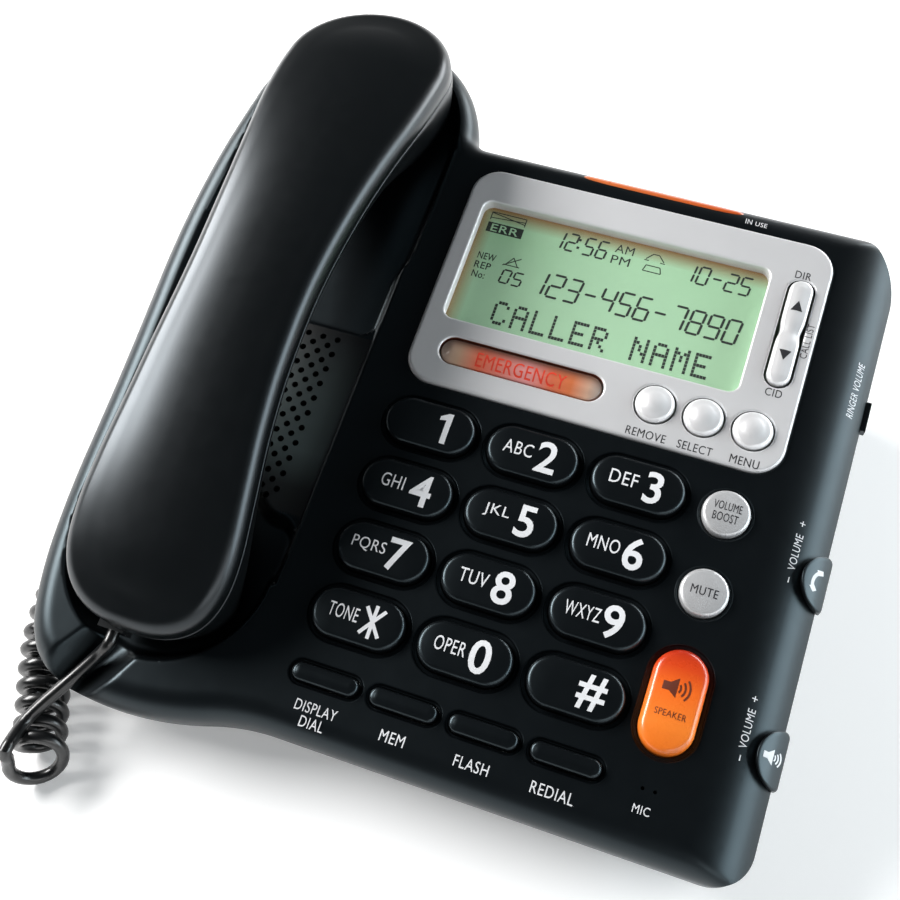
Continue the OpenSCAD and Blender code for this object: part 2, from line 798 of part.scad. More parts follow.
// A key through a plate whose face is at the given height and whose back is at the given depth.
module press_key(l, w, rise, face, back) {
    stem_low = membrane_top + key_travel + stem_clear;
    flange_top = -back - flange_clear;
    translate([0, 0, flange_top - eps]) pill(l, w, face + rise - key_step_h - flange_top + eps);
    translate([0, 0, face]) pill(l - 2 * key_step, w - 2 * key_step, rise);
    translate([0, 0, flange_top - key_flange_t]) pill(l + 2 * key_flange, w + 2 * key_flange, key_flange_t);
    translate([0, 0, stem_low]) cylinder(r = stem_r, h = flange_top - key_flange_t - stem_low + eps);
}

module dial_key(col, row) {
    color("#23292b") on_panel() translate([key_u(col), key_v(row), 0])
        press_key(key_l, key_w, key_rise, 0, base_wall);
}

module function_key(i) {
    color("#23292b") on_panel() translate([fn_u(i), -fn_v, 0])
        press_key(fn_l, fn_w, small_rise, 0, base_wall);
}

module side_key(v) {
    color("silver") on_panel() translate([side_u, v, 0])
        press_key(side_key_d + eps, side_key_d, small_rise, 0, base_wall);
}

module speaker_key() {
    color("darkorange") on_panel() translate([side_u, speaker_v, 0]) rotate([0, 0, 90])
        press_key(speaker_l, speaker_w, key_rise, 0, base_wall);
}

module menu_row_key(i) {
    color("silver") on_panel() translate([menu_u + i * menu_pitch, menu_v, 0])
        press_key(menu_d + eps, menu_d, key_rise, bezel_rise, bezel_seat);
}

module emergency_key() {
    color("#e0a080") on_panel() translate([emergency_u, emergency_v, 0])
        press_key(emergency_l, emergency_w, small_rise, bezel_rise, bezel_seat);
}

module call_list_rocker() {
    color("gainsboro") on_panel() translate([rocker_u, rocker_v, 0]) {
        translate([0, 0, rocker_pin_h - 1.4]) rotate([0, 0, 90])
            pill(rocker_l, rocker_w - 0.3, bezel_rise + rocker_rise - rocker_pin_h + 1.4);
        translate([0, 0, rocker_pin_h]) rotate([0, 90, 0])
            cylinder(r = rocker_pin_r, h = rocker_w + 2 * (rocker_ear_gap + rocker_ear_t), center = true);
        for (side = [-1, 1]) translate([0, side * (rocker_l / 2 - 4), membrane_top + key_travel])
            cylinder(r = stem_r, h = rocker_pin_h - 1.4 - membrane_top - key_travel + eps);
    }
}

module in_use_lens() {
    color("darkorange") on_panel() intersection() {
        translate([in_use_u - in_use_l / 2, panel_rear - in_use_back, -in_use_deep])
            cube([in_use_l, in_use_w, in_use_deep + 2]);
        translate([0, 0, in_use_rise]) along_u(panel_left, panel_right) slope_section(0, skirt_depth);
    }
}

// Inside the base

module main_board() {
    color("darkgreen") difference() {
        on_panel() span([board_left, board_front, board_top - board_t], [board_right, board_rear, board_top]);
        on_desk() for (s = screws) cylinder_at(s, post_r + 1, 0, panel_height + 60);
    }
}

module keypad_membrane() {
    color("gray") on_panel() {
        rear = window_v - window_h / 2 - lcd_border - 0.5;
        span([membrane_left, membrane_front, board_top], [side_u + membrane_edge, rear, membrane_top]);
        span([window_u + window_w / 2 + lcd_border + 1, rear - eps, board_top],
            [rocker_u + 4.5, window_v + window_h / 2, membrane_top]);
    }
}

module hook_plunger() {
    color("dimgray") on_panel() translate([hook_u, hook_v, 0]) {
        span([-hook_w / 2, -hook_d / 2, -hook_foot],
            [hook_w / 2, hook_d / 2, -well_depth - hook_gap + seat_gap]);
        span([-hook_w / 2 - hook_lip, -hook_d / 2 - hook_lip, -well_depth - hook_lip_drop - hook_lip],
            [hook_w / 2 + hook_lip, hook_d / 2 + hook_lip, -well_depth - hook_lip_drop]);
    }
}

module hook_switch() {
    color("#303030") on_panel() translate([hook_u, hook_v, -hook_foot - hook_gap - hook_body_t])
        span([-hook_body_w / 2, -hook_body_w / 2, 0], [hook_body_w / 2, hook_body_w / 2, hook_body_t]);
}

module volume_knob(v) {
    color("#23292b") on_panel() {
        intersection() {
            translate([0, 0, -skirt_depth]) linear_extrude(skirt_depth + 5) intersection() {
                translate([tab_right, v]) circle(knob_r);
                area([0, v - knob_r], [tab_right, v + knob_r]);
            }
            along_v(v - knob_r, v + knob_r) difference() {
                translate([roll_u, -side_roll_r]) circle(side_roll_r + knob_gap + knob_t);
                translate([roll_u, -side_roll_r]) circle(side_roll_r + knob_gap);
            }
        }
        intersection() {
            span([knob_stem_u - knob_stem_w / 2, v - knob_stem_l / 2, 0.6 - skirt_depth],
                [knob_stem_u + knob_stem_w / 2, v + knob_stem_l / 2, 1]);
            along_v(v - knob_r, v + knob_r) translate([roll_u, -side_roll_r])
                circle(side_roll_r + knob_gap + knob_t / 2);
        }
    }
}

module volume_controls() {
    color("#404040") on_panel() for (v = [knob_low_v, knob_high_v])
        span([knob_stem_u - knob_stem_w / 2 - pot_gap - pot_w, v - pot_end, board_top - board_t - pot_t],
            [knob_stem_u - knob_stem_w / 2 - pot_gap, v + knob_travel + pot_end, board_top - board_t]);
}

module ringer_slider() {
    color("#303638") on_panel() {
        span([panel_right + knob_gap, ringer_v - ringer_tab_l / 2, ringer_h - ringer_tab_h / 2],
            [tab_right, ringer_v + ringer_tab_l / 2, ringer_h + ringer_tab_h / 2]);
        span([board_right + 0.7, ringer_v - ringer_stem_l / 2, ringer_h - ringer_stem_h / 2],
            [panel_right + knob_gap + eps, ringer_v + ringer_stem_l / 2, ringer_h + ringer_stem_h / 2]);
    }
}

module ringer_switch() {
    color("#505050") on_panel()
        span([board_right - ringer_body_w + 0.5, ringer_v - ringer_travel - 10, 0.1 - skirt_depth],
            [board_right + 0.5, ringer_v + 10, board_top - board_t]);
}

module loudspeaker() {
    top = -bridge_drop - base_wall;
    cone_low = top - speaker_frame_t - speaker_cone_t;
    color("#3a3a3a") on_panel() translate([cradle_u, loudspeaker_v, 0]) rotate_extrude() polygon([
        [0, top - 3], [6, top - 3.5], [speaker_cone_r - 3, top - 0.5], [speaker_cone_r - 2, top],
        [speaker_cone_r, top], [speaker_cone_r, top - speaker_frame_t], [speaker_back_r + 1, cone_low],
        [speaker_back_r, cone_low], [speaker_back_r, cone_low - speaker_back_t],
        [0, cone_low - speaker_back_t]
    ]);
}

module base_microphone() {
    color("dimgray") on_panel() translate([side_u, mic_v, membrane_top + stem_clear])
        cylinder(r = 4.5, h = -base_wall - membrane_top - stem_clear);
}

// Sockets and the cord's plugs

module line_socket() {
    color("#2c2c2c") on_desk() translate([line_u, base_rear, line_z]) difference() {
        span([-line_w / 2, -line_l, -line_h / 2], [line_w / 2, 0, line_h / 2]);
        span([-line_mouth_w / 2, -line_mouth_l, -line_mouth_h / 2], [line_mouth_w / 2, 1, line_mouth_h / 2]);
        span([-line_mouth_w / 4, -line_mouth_l, -line_h / 2 + 1], [line_mouth_w / 4, 1, 0]);
    }
}

// A socket block in the left wall, with its mouth to the left.
module base_jack_box(grow, l, from) {
    half_w = plug_w / 2 + jack_wall + grow;
    half_h = plug_h / 2 + jack_wall + grow;
    translate([base_left + from, base_jack_y, base_jack_z]) span([0, -half_w, -half_h], [l, half_w, half_h]);
}

module plug_body(grow) {
    span([-plug_w / 2 - grow, -plug_in - grow, -plug_h / 2 - grow],
        [plug_w / 2 + grow, plug_l - plug_in, plug_h / 2 + grow]);
}

module cord_socket() {
    color("#2c2c2c") on_desk() difference() {
        base_jack_box(0, jack_l, 0);
        translate([base_left, base_jack_y, base_jack_z]) rotate([0, 0, 90]) plug_body(plug_clear);
    }
}

module base_plug() {
    color("#d8d8d8") on_desk() translate([base_left, base_jack_y, base_jack_z])
        rotate([0, 0, 90]) plug_body(0);
}

module at_handset_jack() {
    on_panel() translate([handset_jack_u, handset_plug_v + plug_l - plug_in, handset_jack_h])
        rotate([0, 0, 180]) children();
}

module handset_socket() {
    color("#2c2c2c") difference() {
        at_handset_jack() span([-plug_w / 2 - jack_wall, -plug_in - jack_wall, -plug_h / 2 - jack_wall],
            [plug_w / 2 + jack_wall, plug_l - plug_in - handset_socket_in, plug_h / 2 + jack_wall]);
        at_handset_jack() plug_body(plug_clear);
    }
}

module handset_plug() {
    color("#d8d8d8") at_handset_jack() plug_body(0);
}

// Handset

module handset_plan(d) {
    ear_c = handset_rear_v - ear_half_w;
    difference() {
        union() {
            translate([0, ear_c]) circle(ear_half_w - d);
            area([d - ear_half_w, handset_v], [ear_half_w - d, ear_c]);
            area([d - mouth_half_w, 0], [mouth_half_w - d, handset_v + eps]);
            intersection() {
                translate([0, handset_front_v + mouth_end_r]) circle(mouth_end_r - d);
                area([d - mouth_half_w, handset_front_v - past], [mouth_half_w - d, eps]);
            }
        }
        for (side = [-1, 1]) translate([side * (grip_half_w + waist_r), handset_v])
            circle(waist_r + d, $fn = 360);
    }
}

// How far a leaning end climbs over a run outward.
function lean_rise(run, lean, d) = run / lean * (end_h - cap_h - d);

module handset_profile(d) {
    difference() {
        intersection() {
            translate([handset_v, back_centre_h]) circle(back_r - d, $fn = 360);
            polygon([
                [handset_front_v - end_past, handset_top],
                [handset_front_v - end_past, end_h + lean_rise(end_past + d, mouth_lean, d)],
                [handset_front_v + mouth_lean + d, cap_h + d],
                [handset_rear_v - ear_lean - d, cap_h + d],
                [handset_rear_v + end_past, end_h + lean_rise(end_past + d, ear_lean, d)],
                [handset_rear_v + end_past, handset_top]
            ]);
        }
        translate([handset_v, under_centre_h]) circle(under_r + d, $fn = 180);
    }
}

module handset_form(d) {
    intersection() {
        translate([cradle_u, 0, -well_depth - 5])
            linear_extrude(handset_top + well_depth + 10) handset_plan(d);
        along_u(cradle_u - ear_half_w - 5, cradle_u + ear_half_w + 5) handset_profile(d);
    }
}

module under_parting() {
    along_u(cradle_u - ear_half_w - 5, cradle_u + ear_half_w + 5)
        translate([handset_v, back_centre_h]) circle(back_r - back_shell_t, $fn = 360);
}

module handset_shell() {
    difference() {
        handset_form(0);
        handset_form(handset_wall);
    }
}

module handset_back_shell() {
    color("#1b2022") on_panel() difference() {
        union() {
            handset_shell();
            intersection() {
                for (v = handset_screw_v) translate([cradle_u, v, 0])
                    cylinder(r = handset_boss_r, h = handset_top);
                handset_form(handset_wall / 2);
            }
        }
        under_parting();
        for (v = handset_screw_v) translate([cradle_u, v, 0])
            cylinder(r = screw_r - pilot_clear, h = handset_top - 6);
    }
}

module handset_front_shell() {
    color("#1b2022") on_panel() difference() {
        intersection() {
            union() {
                handset_shell();
                intersection() {
                    for (v = handset_screw_v) translate([cradle_u, v, -well_depth])
                        cylinder(r = handset_boss_r, h = handset_top + well_depth);
                    handset_form(handset_wall / 2);
                }
            }
            under_parting();
        }
        for (v = handset_screw_v) translate([cradle_u, v, -well_depth]) {
            cylinder(r = screw_r + bore_clear, h = handset_top + well_depth);
            cylinder(r = screw_head_r + 0.2, h = handset_screw_seat(v) + well_depth);
        }
        translate([cradle_u, receiver_v, cap_h - 1]) for (turn = [0 : 60 : 300]) rotate([0, 0, turn])
            translate([ear_hole_ring, 0, 0]) cylinder(r = ear_hole_r, h = handset_wall + 2, $fn = 16);
        for (i = [-1 : 1]) translate([cradle_u + i * 3, capsule_v, cap_h - 1])
            cylinder(r = ear_hole_r / 2, h = handset_wall + 2, $fn = 16);
        translate([handset_jack_u, handset_plug_v + plug_l, handset_jack_h])
            cube([plug_w + 2 * plug_clear, 2 * plug_l, plug_h + 2 * plug_clear], center = true);
    }
}

// Height at which a handset screw's head meets its boss: just inside the parting surface.
function handset_screw_seat(v) = back_centre_h - screw_grip
    + sqrt(pow(back_r - back_shell_t, 2) - pow(v - handset_v, 2));

module handset_screws() {
    color("silver") on_panel() for (v = handset_screw_v)
        translate([cradle_u, v, handset_screw_seat(v) - screw_head_t]) {
            cylinder(r = screw_head_r, h = screw_head_t);
            cylinder(r = screw_r - 2 * pilot_clear, h = screw_head_t + screw_grip + 3);
        }
}

module handset_receiver() {
    color("#404040") on_panel() translate([cradle_u, receiver_v, cap_h + handset_wall])
        cylinder(r = receiver_r, h = receiver_t);
}

module handset_microphone() {
    color("#404040") on_panel() translate([cradle_u, capsule_v, cap_h + handset_wall])
        cylinder(r = capsule_r, h = capsule_t);
}

// Curly cord

function unit(a) = a / norm(a);
function tangents(p) = [for (i = [0 : len(p) - 1]) unit(p[min(i + 1, len(p) - 1)] - p[max(i - 1, 0)])];
function across(t) = unit(cross(t, abs(t[2]) < 0.9 ? [0, 0, 1] : [1, 0, 0]));
// Cross directions carried along the route without twist.
function carried(t) = [
    for (i = 0, n = across(t[0]); i < len(t); i = i + 1, n = i < len(t) ? unit(n - (n * t[i]) * t[i]) : n) n
];

module tube(p, d, sides) {
    t = tangents(p);
    n = carried(t);
    last = len(p) - 1;
    rings = [for (i = [0 : last]) let (b = cross(t[i], n[i])) for (k = [0 : sides - 1])
        p[i] + d / 2 * (cos(360 * k / sides) * n[i] + sin(360 * k / sides) * b)];
    faces = concat(
        [for (k = [1 : sides - 2]) [0, k, k + 1]],
        [for (k = [1 : sides - 2]) [last * sides, last * sides + k + 1, last * sides + k]],
        [for (i = [0 : last - 1]) for (k = [0 : sides - 1]) let (a = i * sides, m = (k + 1) % sides)
            each [[a + k, a + sides + k, a + m], [a + m, a + sides + k, a + sides + m]]]
    );
    polyhedron(points = rings, faces = faces, convexity = 10);
}

// The coil's axis as a run of straight lengths, met at a share of its length.
axis_steps = [for (i = [1 : len(coil_axis) - 1]) norm(coil_axis[i] - coil_axis[i - 1])];
function run_to(i) = i == 0 ? 0 : run_to(i - 1) + axis_steps[i - 1];
axis_length = run_to(len(axis_steps));
function step_at(s, i = 0) = i >= len(axis_steps) - 1 || s <= run_to(i + 1) ? i : step_at(s, i + 1);
function axis_at(s) = let (i = step_at(s))
    coil_axis[i] + (s - run_to(i)) / axis_steps[i] * (coil_axis[i + 1] - coil_axis[i]);
soft = 9;
function axis_soft(s) = let (a = max(s - soft, 0), b = min(s + soft, axis_length), r = min(s - a, b - s))
    (axis_at(s - r) + axis_at(s) * 2 + axis_at(s + r)) / 4;
function heading(s) = unit(axis_soft(min(s + 1, axis_length)) - axis_soft(max(s - 1, 0)));

// Curls: wide at the handset's end, then even, one ring after another along the axis.
open_curls = 9;
open_share = 0.265;
function along(turn) = axis_length * (turn < open_curls ? open_share * turn / open_curls
    : open_share + (1 - open_share) * (turn - open_curls) / (curls - open_curls));
function curl_radius(turn) = coil_r + (first_curl_r - coil_r) * max(0, 1 - turn / first_curl_turns);
function curl_point(turn) = let (
    s = along(turn), h = heading(s), r = curl_radius(turn), a = curl_start + 360 * turn,
    c = axis_soft(s) - h * first_curl_lean * max(0, 1 - turn) * (1 - sin(a)) / 2)
    [c[0] + h[1] * r * cos(a), c[1] - h[0] * r * cos(a), coil_z + r - coil_r + r * sin(a)];
turn_last = curls + (180 - curl_start) / 360;
curl_body = [for (i = [0 : ceil(turn_last * curl_rings)]) curl_point(min(i / curl_rings, turn_last))];
curl_first = unit(curl_body[0] - curl_body[1]);
curl_out = [0, 1, 0];
curl_points = concat([curl_body[0] + cord_d * curl_first], curl_body,
    [curl_body[len(curl_body) - 1] + [0, 2.4, 0.6], curl_body[len(curl_body) - 1] + [0, 2.4 + cord_d, 0.6]]);
lead_in = curl_points[0];
lead_tail = curl_points[len(curl_points) - 1];

// Least gap between one curl and the next, on points.
curl_gap = min([for (i = [0 : len(curl_body) - 1]) for (k = [curl_rings - 3 : curl_rings + 3])
    if (i + k < len(curl_body)) norm(curl_body[i + k] - curl_body[i])]) - cord_d;
echo(least_curl_gap = curl_gap);

module cord_tube(p, sides) {
    color("#202426") on_desk() tube(p, cord_d, sides);
}

module handset_lead() {
    first = [handset_exit, handset_exit + cord_d * lead_out];
    cord_tube(concat(first, lead_points, [lead_in + cord_d * curl_first, lead_in]), lead_sides);
}

module coiled_cord() {
    cord_tube(curl_points, curl_sides);
}

module base_lead() {
    plug_face = [base_left - plug_l + plug_in, base_jack_y, base_jack_z];
    first = [lead_tail, lead_tail + [0, cord_d, 0]];
    cord_tube(concat(first, base_lead_points, [plug_face - [cord_d, 0, 0], plug_face]), lead_sides);
}

top_housing();
bottom_housing();
rubber_feet();
housing_screws();
display_bezel();
display_lens();
lcd_panel();
lcd_backlight();
main_board();
keypad_membrane();
dial_key(0, 0);  // key_1
dial_key(1, 0);  // key_2
dial_key(2, 0);  // key_3
dial_key(0, 1);  // key_4
dial_key(1, 1);  // key_5
dial_key(2, 1);  // key_6
dial_key(0, 2);  // key_7
dial_key(1, 2);  // key_8
dial_key(2, 2);  // key_9
dial_key(0, 3);  // key_star
dial_key(1, 3);  // key_0
dial_key(2, 3);  // key_hash
function_key(0);  // display_dial_key
function_key(1);  // memory_key
function_key(2);  // flash_key
function_key(3);  // redial_key
side_key(boost_v);  // volume_boost_key
side_key(mute_v);  // mute_key
speaker_key();
menu_row_key(-1);  // remove_key
menu_row_key(0);  // select_key
menu_row_key(1);  // menu_key
emergency_key();
call_list_rocker();
in_use_lens();
hook_plunger();
hook_switch();
volume_knob(knob_low_v);  // handset_volume_slider
volume_knob(knob_high_v);  // speaker_volume_slider
volume_controls();
ringer_slider();
ringer_switch();
loudspeaker();
base_microphone();
line_socket();
cord_socket();
handset_back_shell();
handset_front_shell();
handset_receiver();
handset_microphone();
handset_socket();
handset_screws();
handset_plug();
handset_lead();
coiled_cord();
base_lead();
base_plug();
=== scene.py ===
import math

import bmesh
import bpy
import numpy as np
from mathutils import Matrix, Vector
from mathutils.geometry import delaunay_2d_cdt


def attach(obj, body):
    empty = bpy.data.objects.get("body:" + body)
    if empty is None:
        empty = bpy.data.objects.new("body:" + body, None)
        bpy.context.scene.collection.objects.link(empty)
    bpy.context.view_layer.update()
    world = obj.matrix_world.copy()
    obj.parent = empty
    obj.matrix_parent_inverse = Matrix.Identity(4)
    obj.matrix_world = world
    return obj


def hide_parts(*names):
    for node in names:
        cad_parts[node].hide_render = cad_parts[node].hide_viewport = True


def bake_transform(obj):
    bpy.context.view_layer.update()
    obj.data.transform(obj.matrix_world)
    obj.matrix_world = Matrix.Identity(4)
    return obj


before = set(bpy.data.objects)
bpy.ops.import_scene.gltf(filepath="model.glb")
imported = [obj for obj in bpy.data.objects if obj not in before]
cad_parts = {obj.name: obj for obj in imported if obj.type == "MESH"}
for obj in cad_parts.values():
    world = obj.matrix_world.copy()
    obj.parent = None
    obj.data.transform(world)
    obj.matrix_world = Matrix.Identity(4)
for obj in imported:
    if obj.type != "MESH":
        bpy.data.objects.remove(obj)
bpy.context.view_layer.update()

# Frame of the sloped panel: u right, v up the slope, h out of it, all in millimetres
MM = 0.001
TILT = math.radians(15.6)
COS = math.cos(TILT)
SIN = math.sin(TILT)
DESK_X = 19.9
DESK_Y = -42.9947
PANEL_HEIGHT = 44.0
PANEL = Matrix((
    (1, 0, 0, DESK_X * MM),
    (0, COS, -SIN, DESK_Y * MM),
    (0, SIN, COS, PANEL_HEIGHT * MM),
    (0, 0, 0, 1),
))


def panel_point(u, v, h):
    """A panel point in the row frame, in millimetres."""
    return np.array([u + DESK_X, v * COS - h * SIN + DESK_Y, PANEL_HEIGHT + v * SIN + h * COS])


# Camera and light
CAMERA_AT = Vector((0.06580, -0.21067, 0.32758))
CAMERA_LOOK = Vector((-0.19944, 0.55619, -0.80677))
FOCAL_PIXELS = 1229.386
IMAGE_PIXELS = 900
SENSOR = 36.0


def aimed(at, direction, axis):
    """A place with one of its axes along a direction."""
    return Matrix.Translation(at) @ direction.to_track_quat(axis, "Y").to_matrix().to_4x4()


def set_camera():
    data = bpy.data.cameras.new("camera")
    data.sensor_width = SENSOR
    data.sensor_fit = "HORIZONTAL"
    data.lens = FOCAL_PIXELS / IMAGE_PIXELS * SENSOR
    data.clip_start = 0.01
    camera = bpy.data.objects.new("camera", data)
    bpy.context.scene.collection.objects.link(camera)
    camera.matrix_world = aimed(CAMERA_AT, CAMERA_LOOK, "-Z")
    bpy.context.scene.camera = camera


LAMP_AIM = Vector((0, 0.03, 0.04))
WORLD_DIM = (0.052, 0.056, 0.060)
WHITE = (1, 1, 1)


def softbox(name, direction, distance, size, power, tint=WHITE):
    """A rectangular lamp that faces the middle of the telephone."""
    data = bpy.data.lights.new(name, "AREA")
    data.shape = "RECTANGLE"
    data.size, data.size_y = size
    data.energy = power
    data.color = tint
    lamp = bpy.data.objects.new(name, data)
    bpy.context.scene.collection.objects.link(lamp)
    towards = Vector(direction).normalized()
    lamp.matrix_world = aimed(LAMP_AIM + towards * distance, towards, "Z")


def seen_directly(tree):
    """One for rays from the camera, or from a mirror or glass, and nought for the rest."""
    rays = tree.nodes.new("ShaderNodeLightPath").outputs
    mirrored = combined(tree, "MAXIMUM", rays["Is Glossy Ray"], rays["Is Transmission Ray"])
    return combined(tree, "MAXIMUM", rays["Is Camera Ray"], mirrored)


def combined(tree, operation, a, b):
    """Two values joined by one step of arithmetic."""
    node = tree.nodes.new("ShaderNodeMath")
    node.operation = operation
    tree.links.new(a, node.inputs[0])
    tree.links.new(b, node.inputs[1])
    return node.outputs["Value"]


def remap(tree, value, low, high, from_low=0.3, from_high=0.7):
    """A value carried from one range to another; noise lies mostly in the first range given here."""
    node = tree.nodes.new("ShaderNodeMapRange")
    node.inputs["From Min"].default_value = from_low
    node.inputs["From Max"].default_value = from_high
    node.inputs["To Min"].default_value = low
    node.inputs["To Max"].default_value = high
    tree.links.new(value, node.inputs["Value"])
    return node.outputs["Result"]


def mixed(tree, share, first, second):
    """A mix of two colours; the first may come from another node."""
    node = tree.nodes.new("ShaderNodeMix")
    node.data_type = "RGBA"
    tree.links.new(share, node.inputs["Factor"])
    if isinstance(first, tuple):
        node.inputs["A"].default_value = (*first, 1)
    else:
        tree.links.new(first, node.inputs["A"])
    node.inputs["B"].default_value = (*second, 1)
    return node.outputs["Result"]


def set_light():
    scene = bpy.context.scene
    scene.view_settings.view_transform = "Standard"
    world = bpy.data.worlds.new("studio")
    world.use_nodes = True
    tree = world.node_tree
    where = tree.nodes.new("ShaderNodeTexCoord")
    split = tree.nodes.new("ShaderNodeSeparateXYZ")
    tree.links.new(where.outputs["Generated"], split.inputs["Vector"])
    low = remap(tree, split.outputs["Z"], 1.0, 0.0, 0.10, 0.22)
    rays = tree.nodes.new("ShaderNodeLightPath").outputs
    mirrored = combined(tree, "MULTIPLY", low, seen_directly(tree))
    pale = combined(tree, "MAXIMUM", mirrored, rays["Is Camera Ray"])
    tree.links.new(mixed(tree, pale, WORLD_DIM, WHITE), tree.nodes["Background"].inputs["Color"])
    scene.world = world
    softbox("lamp_left", (-0.84, 0.02, 0.54), 0.9, (0.70, 0.30), 17.0, (1.0, 0.99, 0.98))
    softbox("lamp_right", (0.95, 0.12, 0.26), 0.9, (0.90, 0.35), 7.5, (0.84, 0.95, 1.0))
    softbox("lamp_front", (0.62, -0.70, 0.36), 1.0, (0.8, 0.30), 2.2)
    softbox("lamp_back", (0.55, 0.80, 0.32), 1.0, (0.7, 0.25), 7.0)


set_camera()
set_light()


# Mesh helpers
class Shape:
    """Points in millimetres and faces, with a material number for each face."""

    def __init__(self):
        self.points = []
        self.faces = []
        self.paints = []

    def ring(self, points):
        start = len(self.points)
        self.points.extend((float(p[0]), float(p[1]), float(p[2])) for p in points)
        return list(range(start, len(self.points)))

    def face(self, corners, paint=0):
        self.faces.append(tuple(corners))
        self.paints.append(paint)

    def bridge(self, a, b, paint=0, closed=True):
        count = len(a)
        for i in range(count if closed else count - 1):
            j = (i + 1) % count
            self.face((a[i], a[j], b[j], b[i]), paint)

    def stack(self, rings, paint=0, closed=True):
        made = [self.ring(r) for r in rings]
        for a, b in zip(made, made[1:]):
            self.bridge(a, b, paint, closed)
        return made

    def fill(self, outer, holes=(), loose=(), paint=0):
        """Triangles between an outer ring, its holes and loose points, seen in plan."""
        loops = [list(outer), *[list(h) for h in holes]]
        used = [i for loop in loops for i in loop] + list(loose)
        place = {old: new for new, old in enumerate(used)}
        flat = [Vector(self.points[i][:2]) for i in used]
        areas = [[place[i] for i in loop] for loop in loops]
        edges = [(loop[i], loop[(i + 1) % len(loop)]) for loop in areas for i in range(len(loop))]
        result = delaunay_2d_cdt(flat, edges, areas, 0, 1e-6)
        for face, inside in zip(result[2], result[5]):
            if 0 in inside and len(inside) == 1:
                self.face([used[result[3][i][0]] for i in face], paint)


def make(name, shape, materials, body="base", matrix=PANEL, covers=(), sharp=40):
    """A smooth mesh object from a shape, riding on a body."""
    mesh = bpy.data.meshes.new(name)
    place = np.array(matrix)
    points = np.array(shape.points) * MM @ place[:3, :3].T + place[:3, 3]
    mesh.from_pydata(points.tolist(), [], shape.faces)
    mesh.polygons.foreach_set("material_index", shape.paints)
    work = bmesh.new()
    work.from_mesh(mesh)
    bmesh.ops.recalc_face_normals(work, faces=work.faces)
    work.to_mesh(mesh)
    work.free()
    mesh.shade_smooth()
    mesh.set_sharp_from_angle(angle=math.radians(sharp))
    for material in materials:
        mesh.materials.append(material)
    piece = bpy.data.objects.new(name, mesh)
    bpy.context.scene.collection.objects.link(piece)
    if body:
        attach(piece, body)
    if covers:
        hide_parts(*covers)
    return piece


def smooth_min(a, b, k):
    gap = np.maximum(k - np.abs(a - b), 0.0)
    return np.minimum(a, b) - gap * gap / (4 * k)


def smooth_max(a, b, k):
    return -smooth_min(-a, -b, k)


# Materials
def node_material(name):
    material = bpy.data.materials.new(name)
    material.use_nodes = True
    tree = material.node_tree
    shader = tree.nodes["Principled BSDF"]
    where = tree.nodes.new("ShaderNodeTexCoord")
    return material, tree, shader, where.outputs["Object"]


def noise(tree, where, scale, detail=3.0):
    node = tree.nodes.new("ShaderNodeTexNoise")
    node.inputs["Scale"].default_value = scale
    node.inputs["Detail"].default_value = detail
    tree.links.new(where, node.inputs["Vector"])
    return node.outputs["Fac"]


def uneven_gloss(tree, where, shader, rough, spread, scale):
    """Roughness that wanders a little about its middle."""
    wander = remap(tree, noise(tree, where, scale), rough - spread, rough + spread)
    tree.links.new(wander, shader.inputs["Roughness"])


def moulded(name, dark, light, rough, spread=0.05, grain=1800.0, bump=0.02, metallic=0.0, specular=0.5,
            sheen=WHITE):
    """Moulded plastic or paint: two near tones, uneven gloss and a fine moulded grain."""
    material, tree, shader, where = node_material(name)
    tree.links.new(mixed(tree, noise(tree, where, 60.0), dark, light), shader.inputs["Base Color"])
    uneven_gloss(tree, where, shader, rough, spread, 220.0)
    relief = tree.nodes.new("ShaderNodeBump")
    relief.inputs["Strength"].default_value = bump
    relief.inputs["Distance"].default_value = 0.0002
    tree.links.new(noise(tree, where, grain), relief.inputs["Height"])
    tree.links.new(relief.outputs["Normal"], shader.inputs["Normal"])
    shader.inputs["Metallic"].default_value = metallic
    shader.inputs["Specular IOR Level"].default_value = specular
    shader.inputs["Specular Tint"].default_value = (*sheen, 1)
    return material


def along_panel(tree, where, axis, low, high):
    """Nought to one between two places of the panel, across it or up it."""
    split = tree.nodes.new("ShaderNodeSeparateXYZ")
    tree.links.new(where, split.inputs["Vector"])
    scale, start = (1, DESK_X) if axis == "X" else (COS, DESK_Y)
    ends = [(place * scale + start) * MM for place in (low, high)]
    return remap(tree, split.outputs[axis], 0.0, 1.0, *ends)


def glow_with(tree, shader, tone, glow):
    """The same tone for the surface and for the light it gives."""
    tree.links.new(tone, shader.inputs["Base Color"])
    tree.links.new(tone, shader.inputs["Emission Color"])
    shader.inputs["Emission Strength"].default_value = glow


def coat_with(shader, coat, rough):
    shader.inputs["Coat Weight"].default_value = coat
    shader.inputs["Coat Roughness"].default_value = rough


def tinted(name, first, second, axis, low, high, rough, glow=0.0):
    """Tinted clear plastic whose colour runs from one end to the other."""
    material, tree, shader, where = node_material(name)
    glow_with(tree, shader, mixed(tree, along_panel(tree, where, axis, low, high), first, second), glow)
    uneven_gloss(tree, where, shader, rough, 0.03, 300.0)
    coat_with(shader, 0.6, 0.08)
    return material


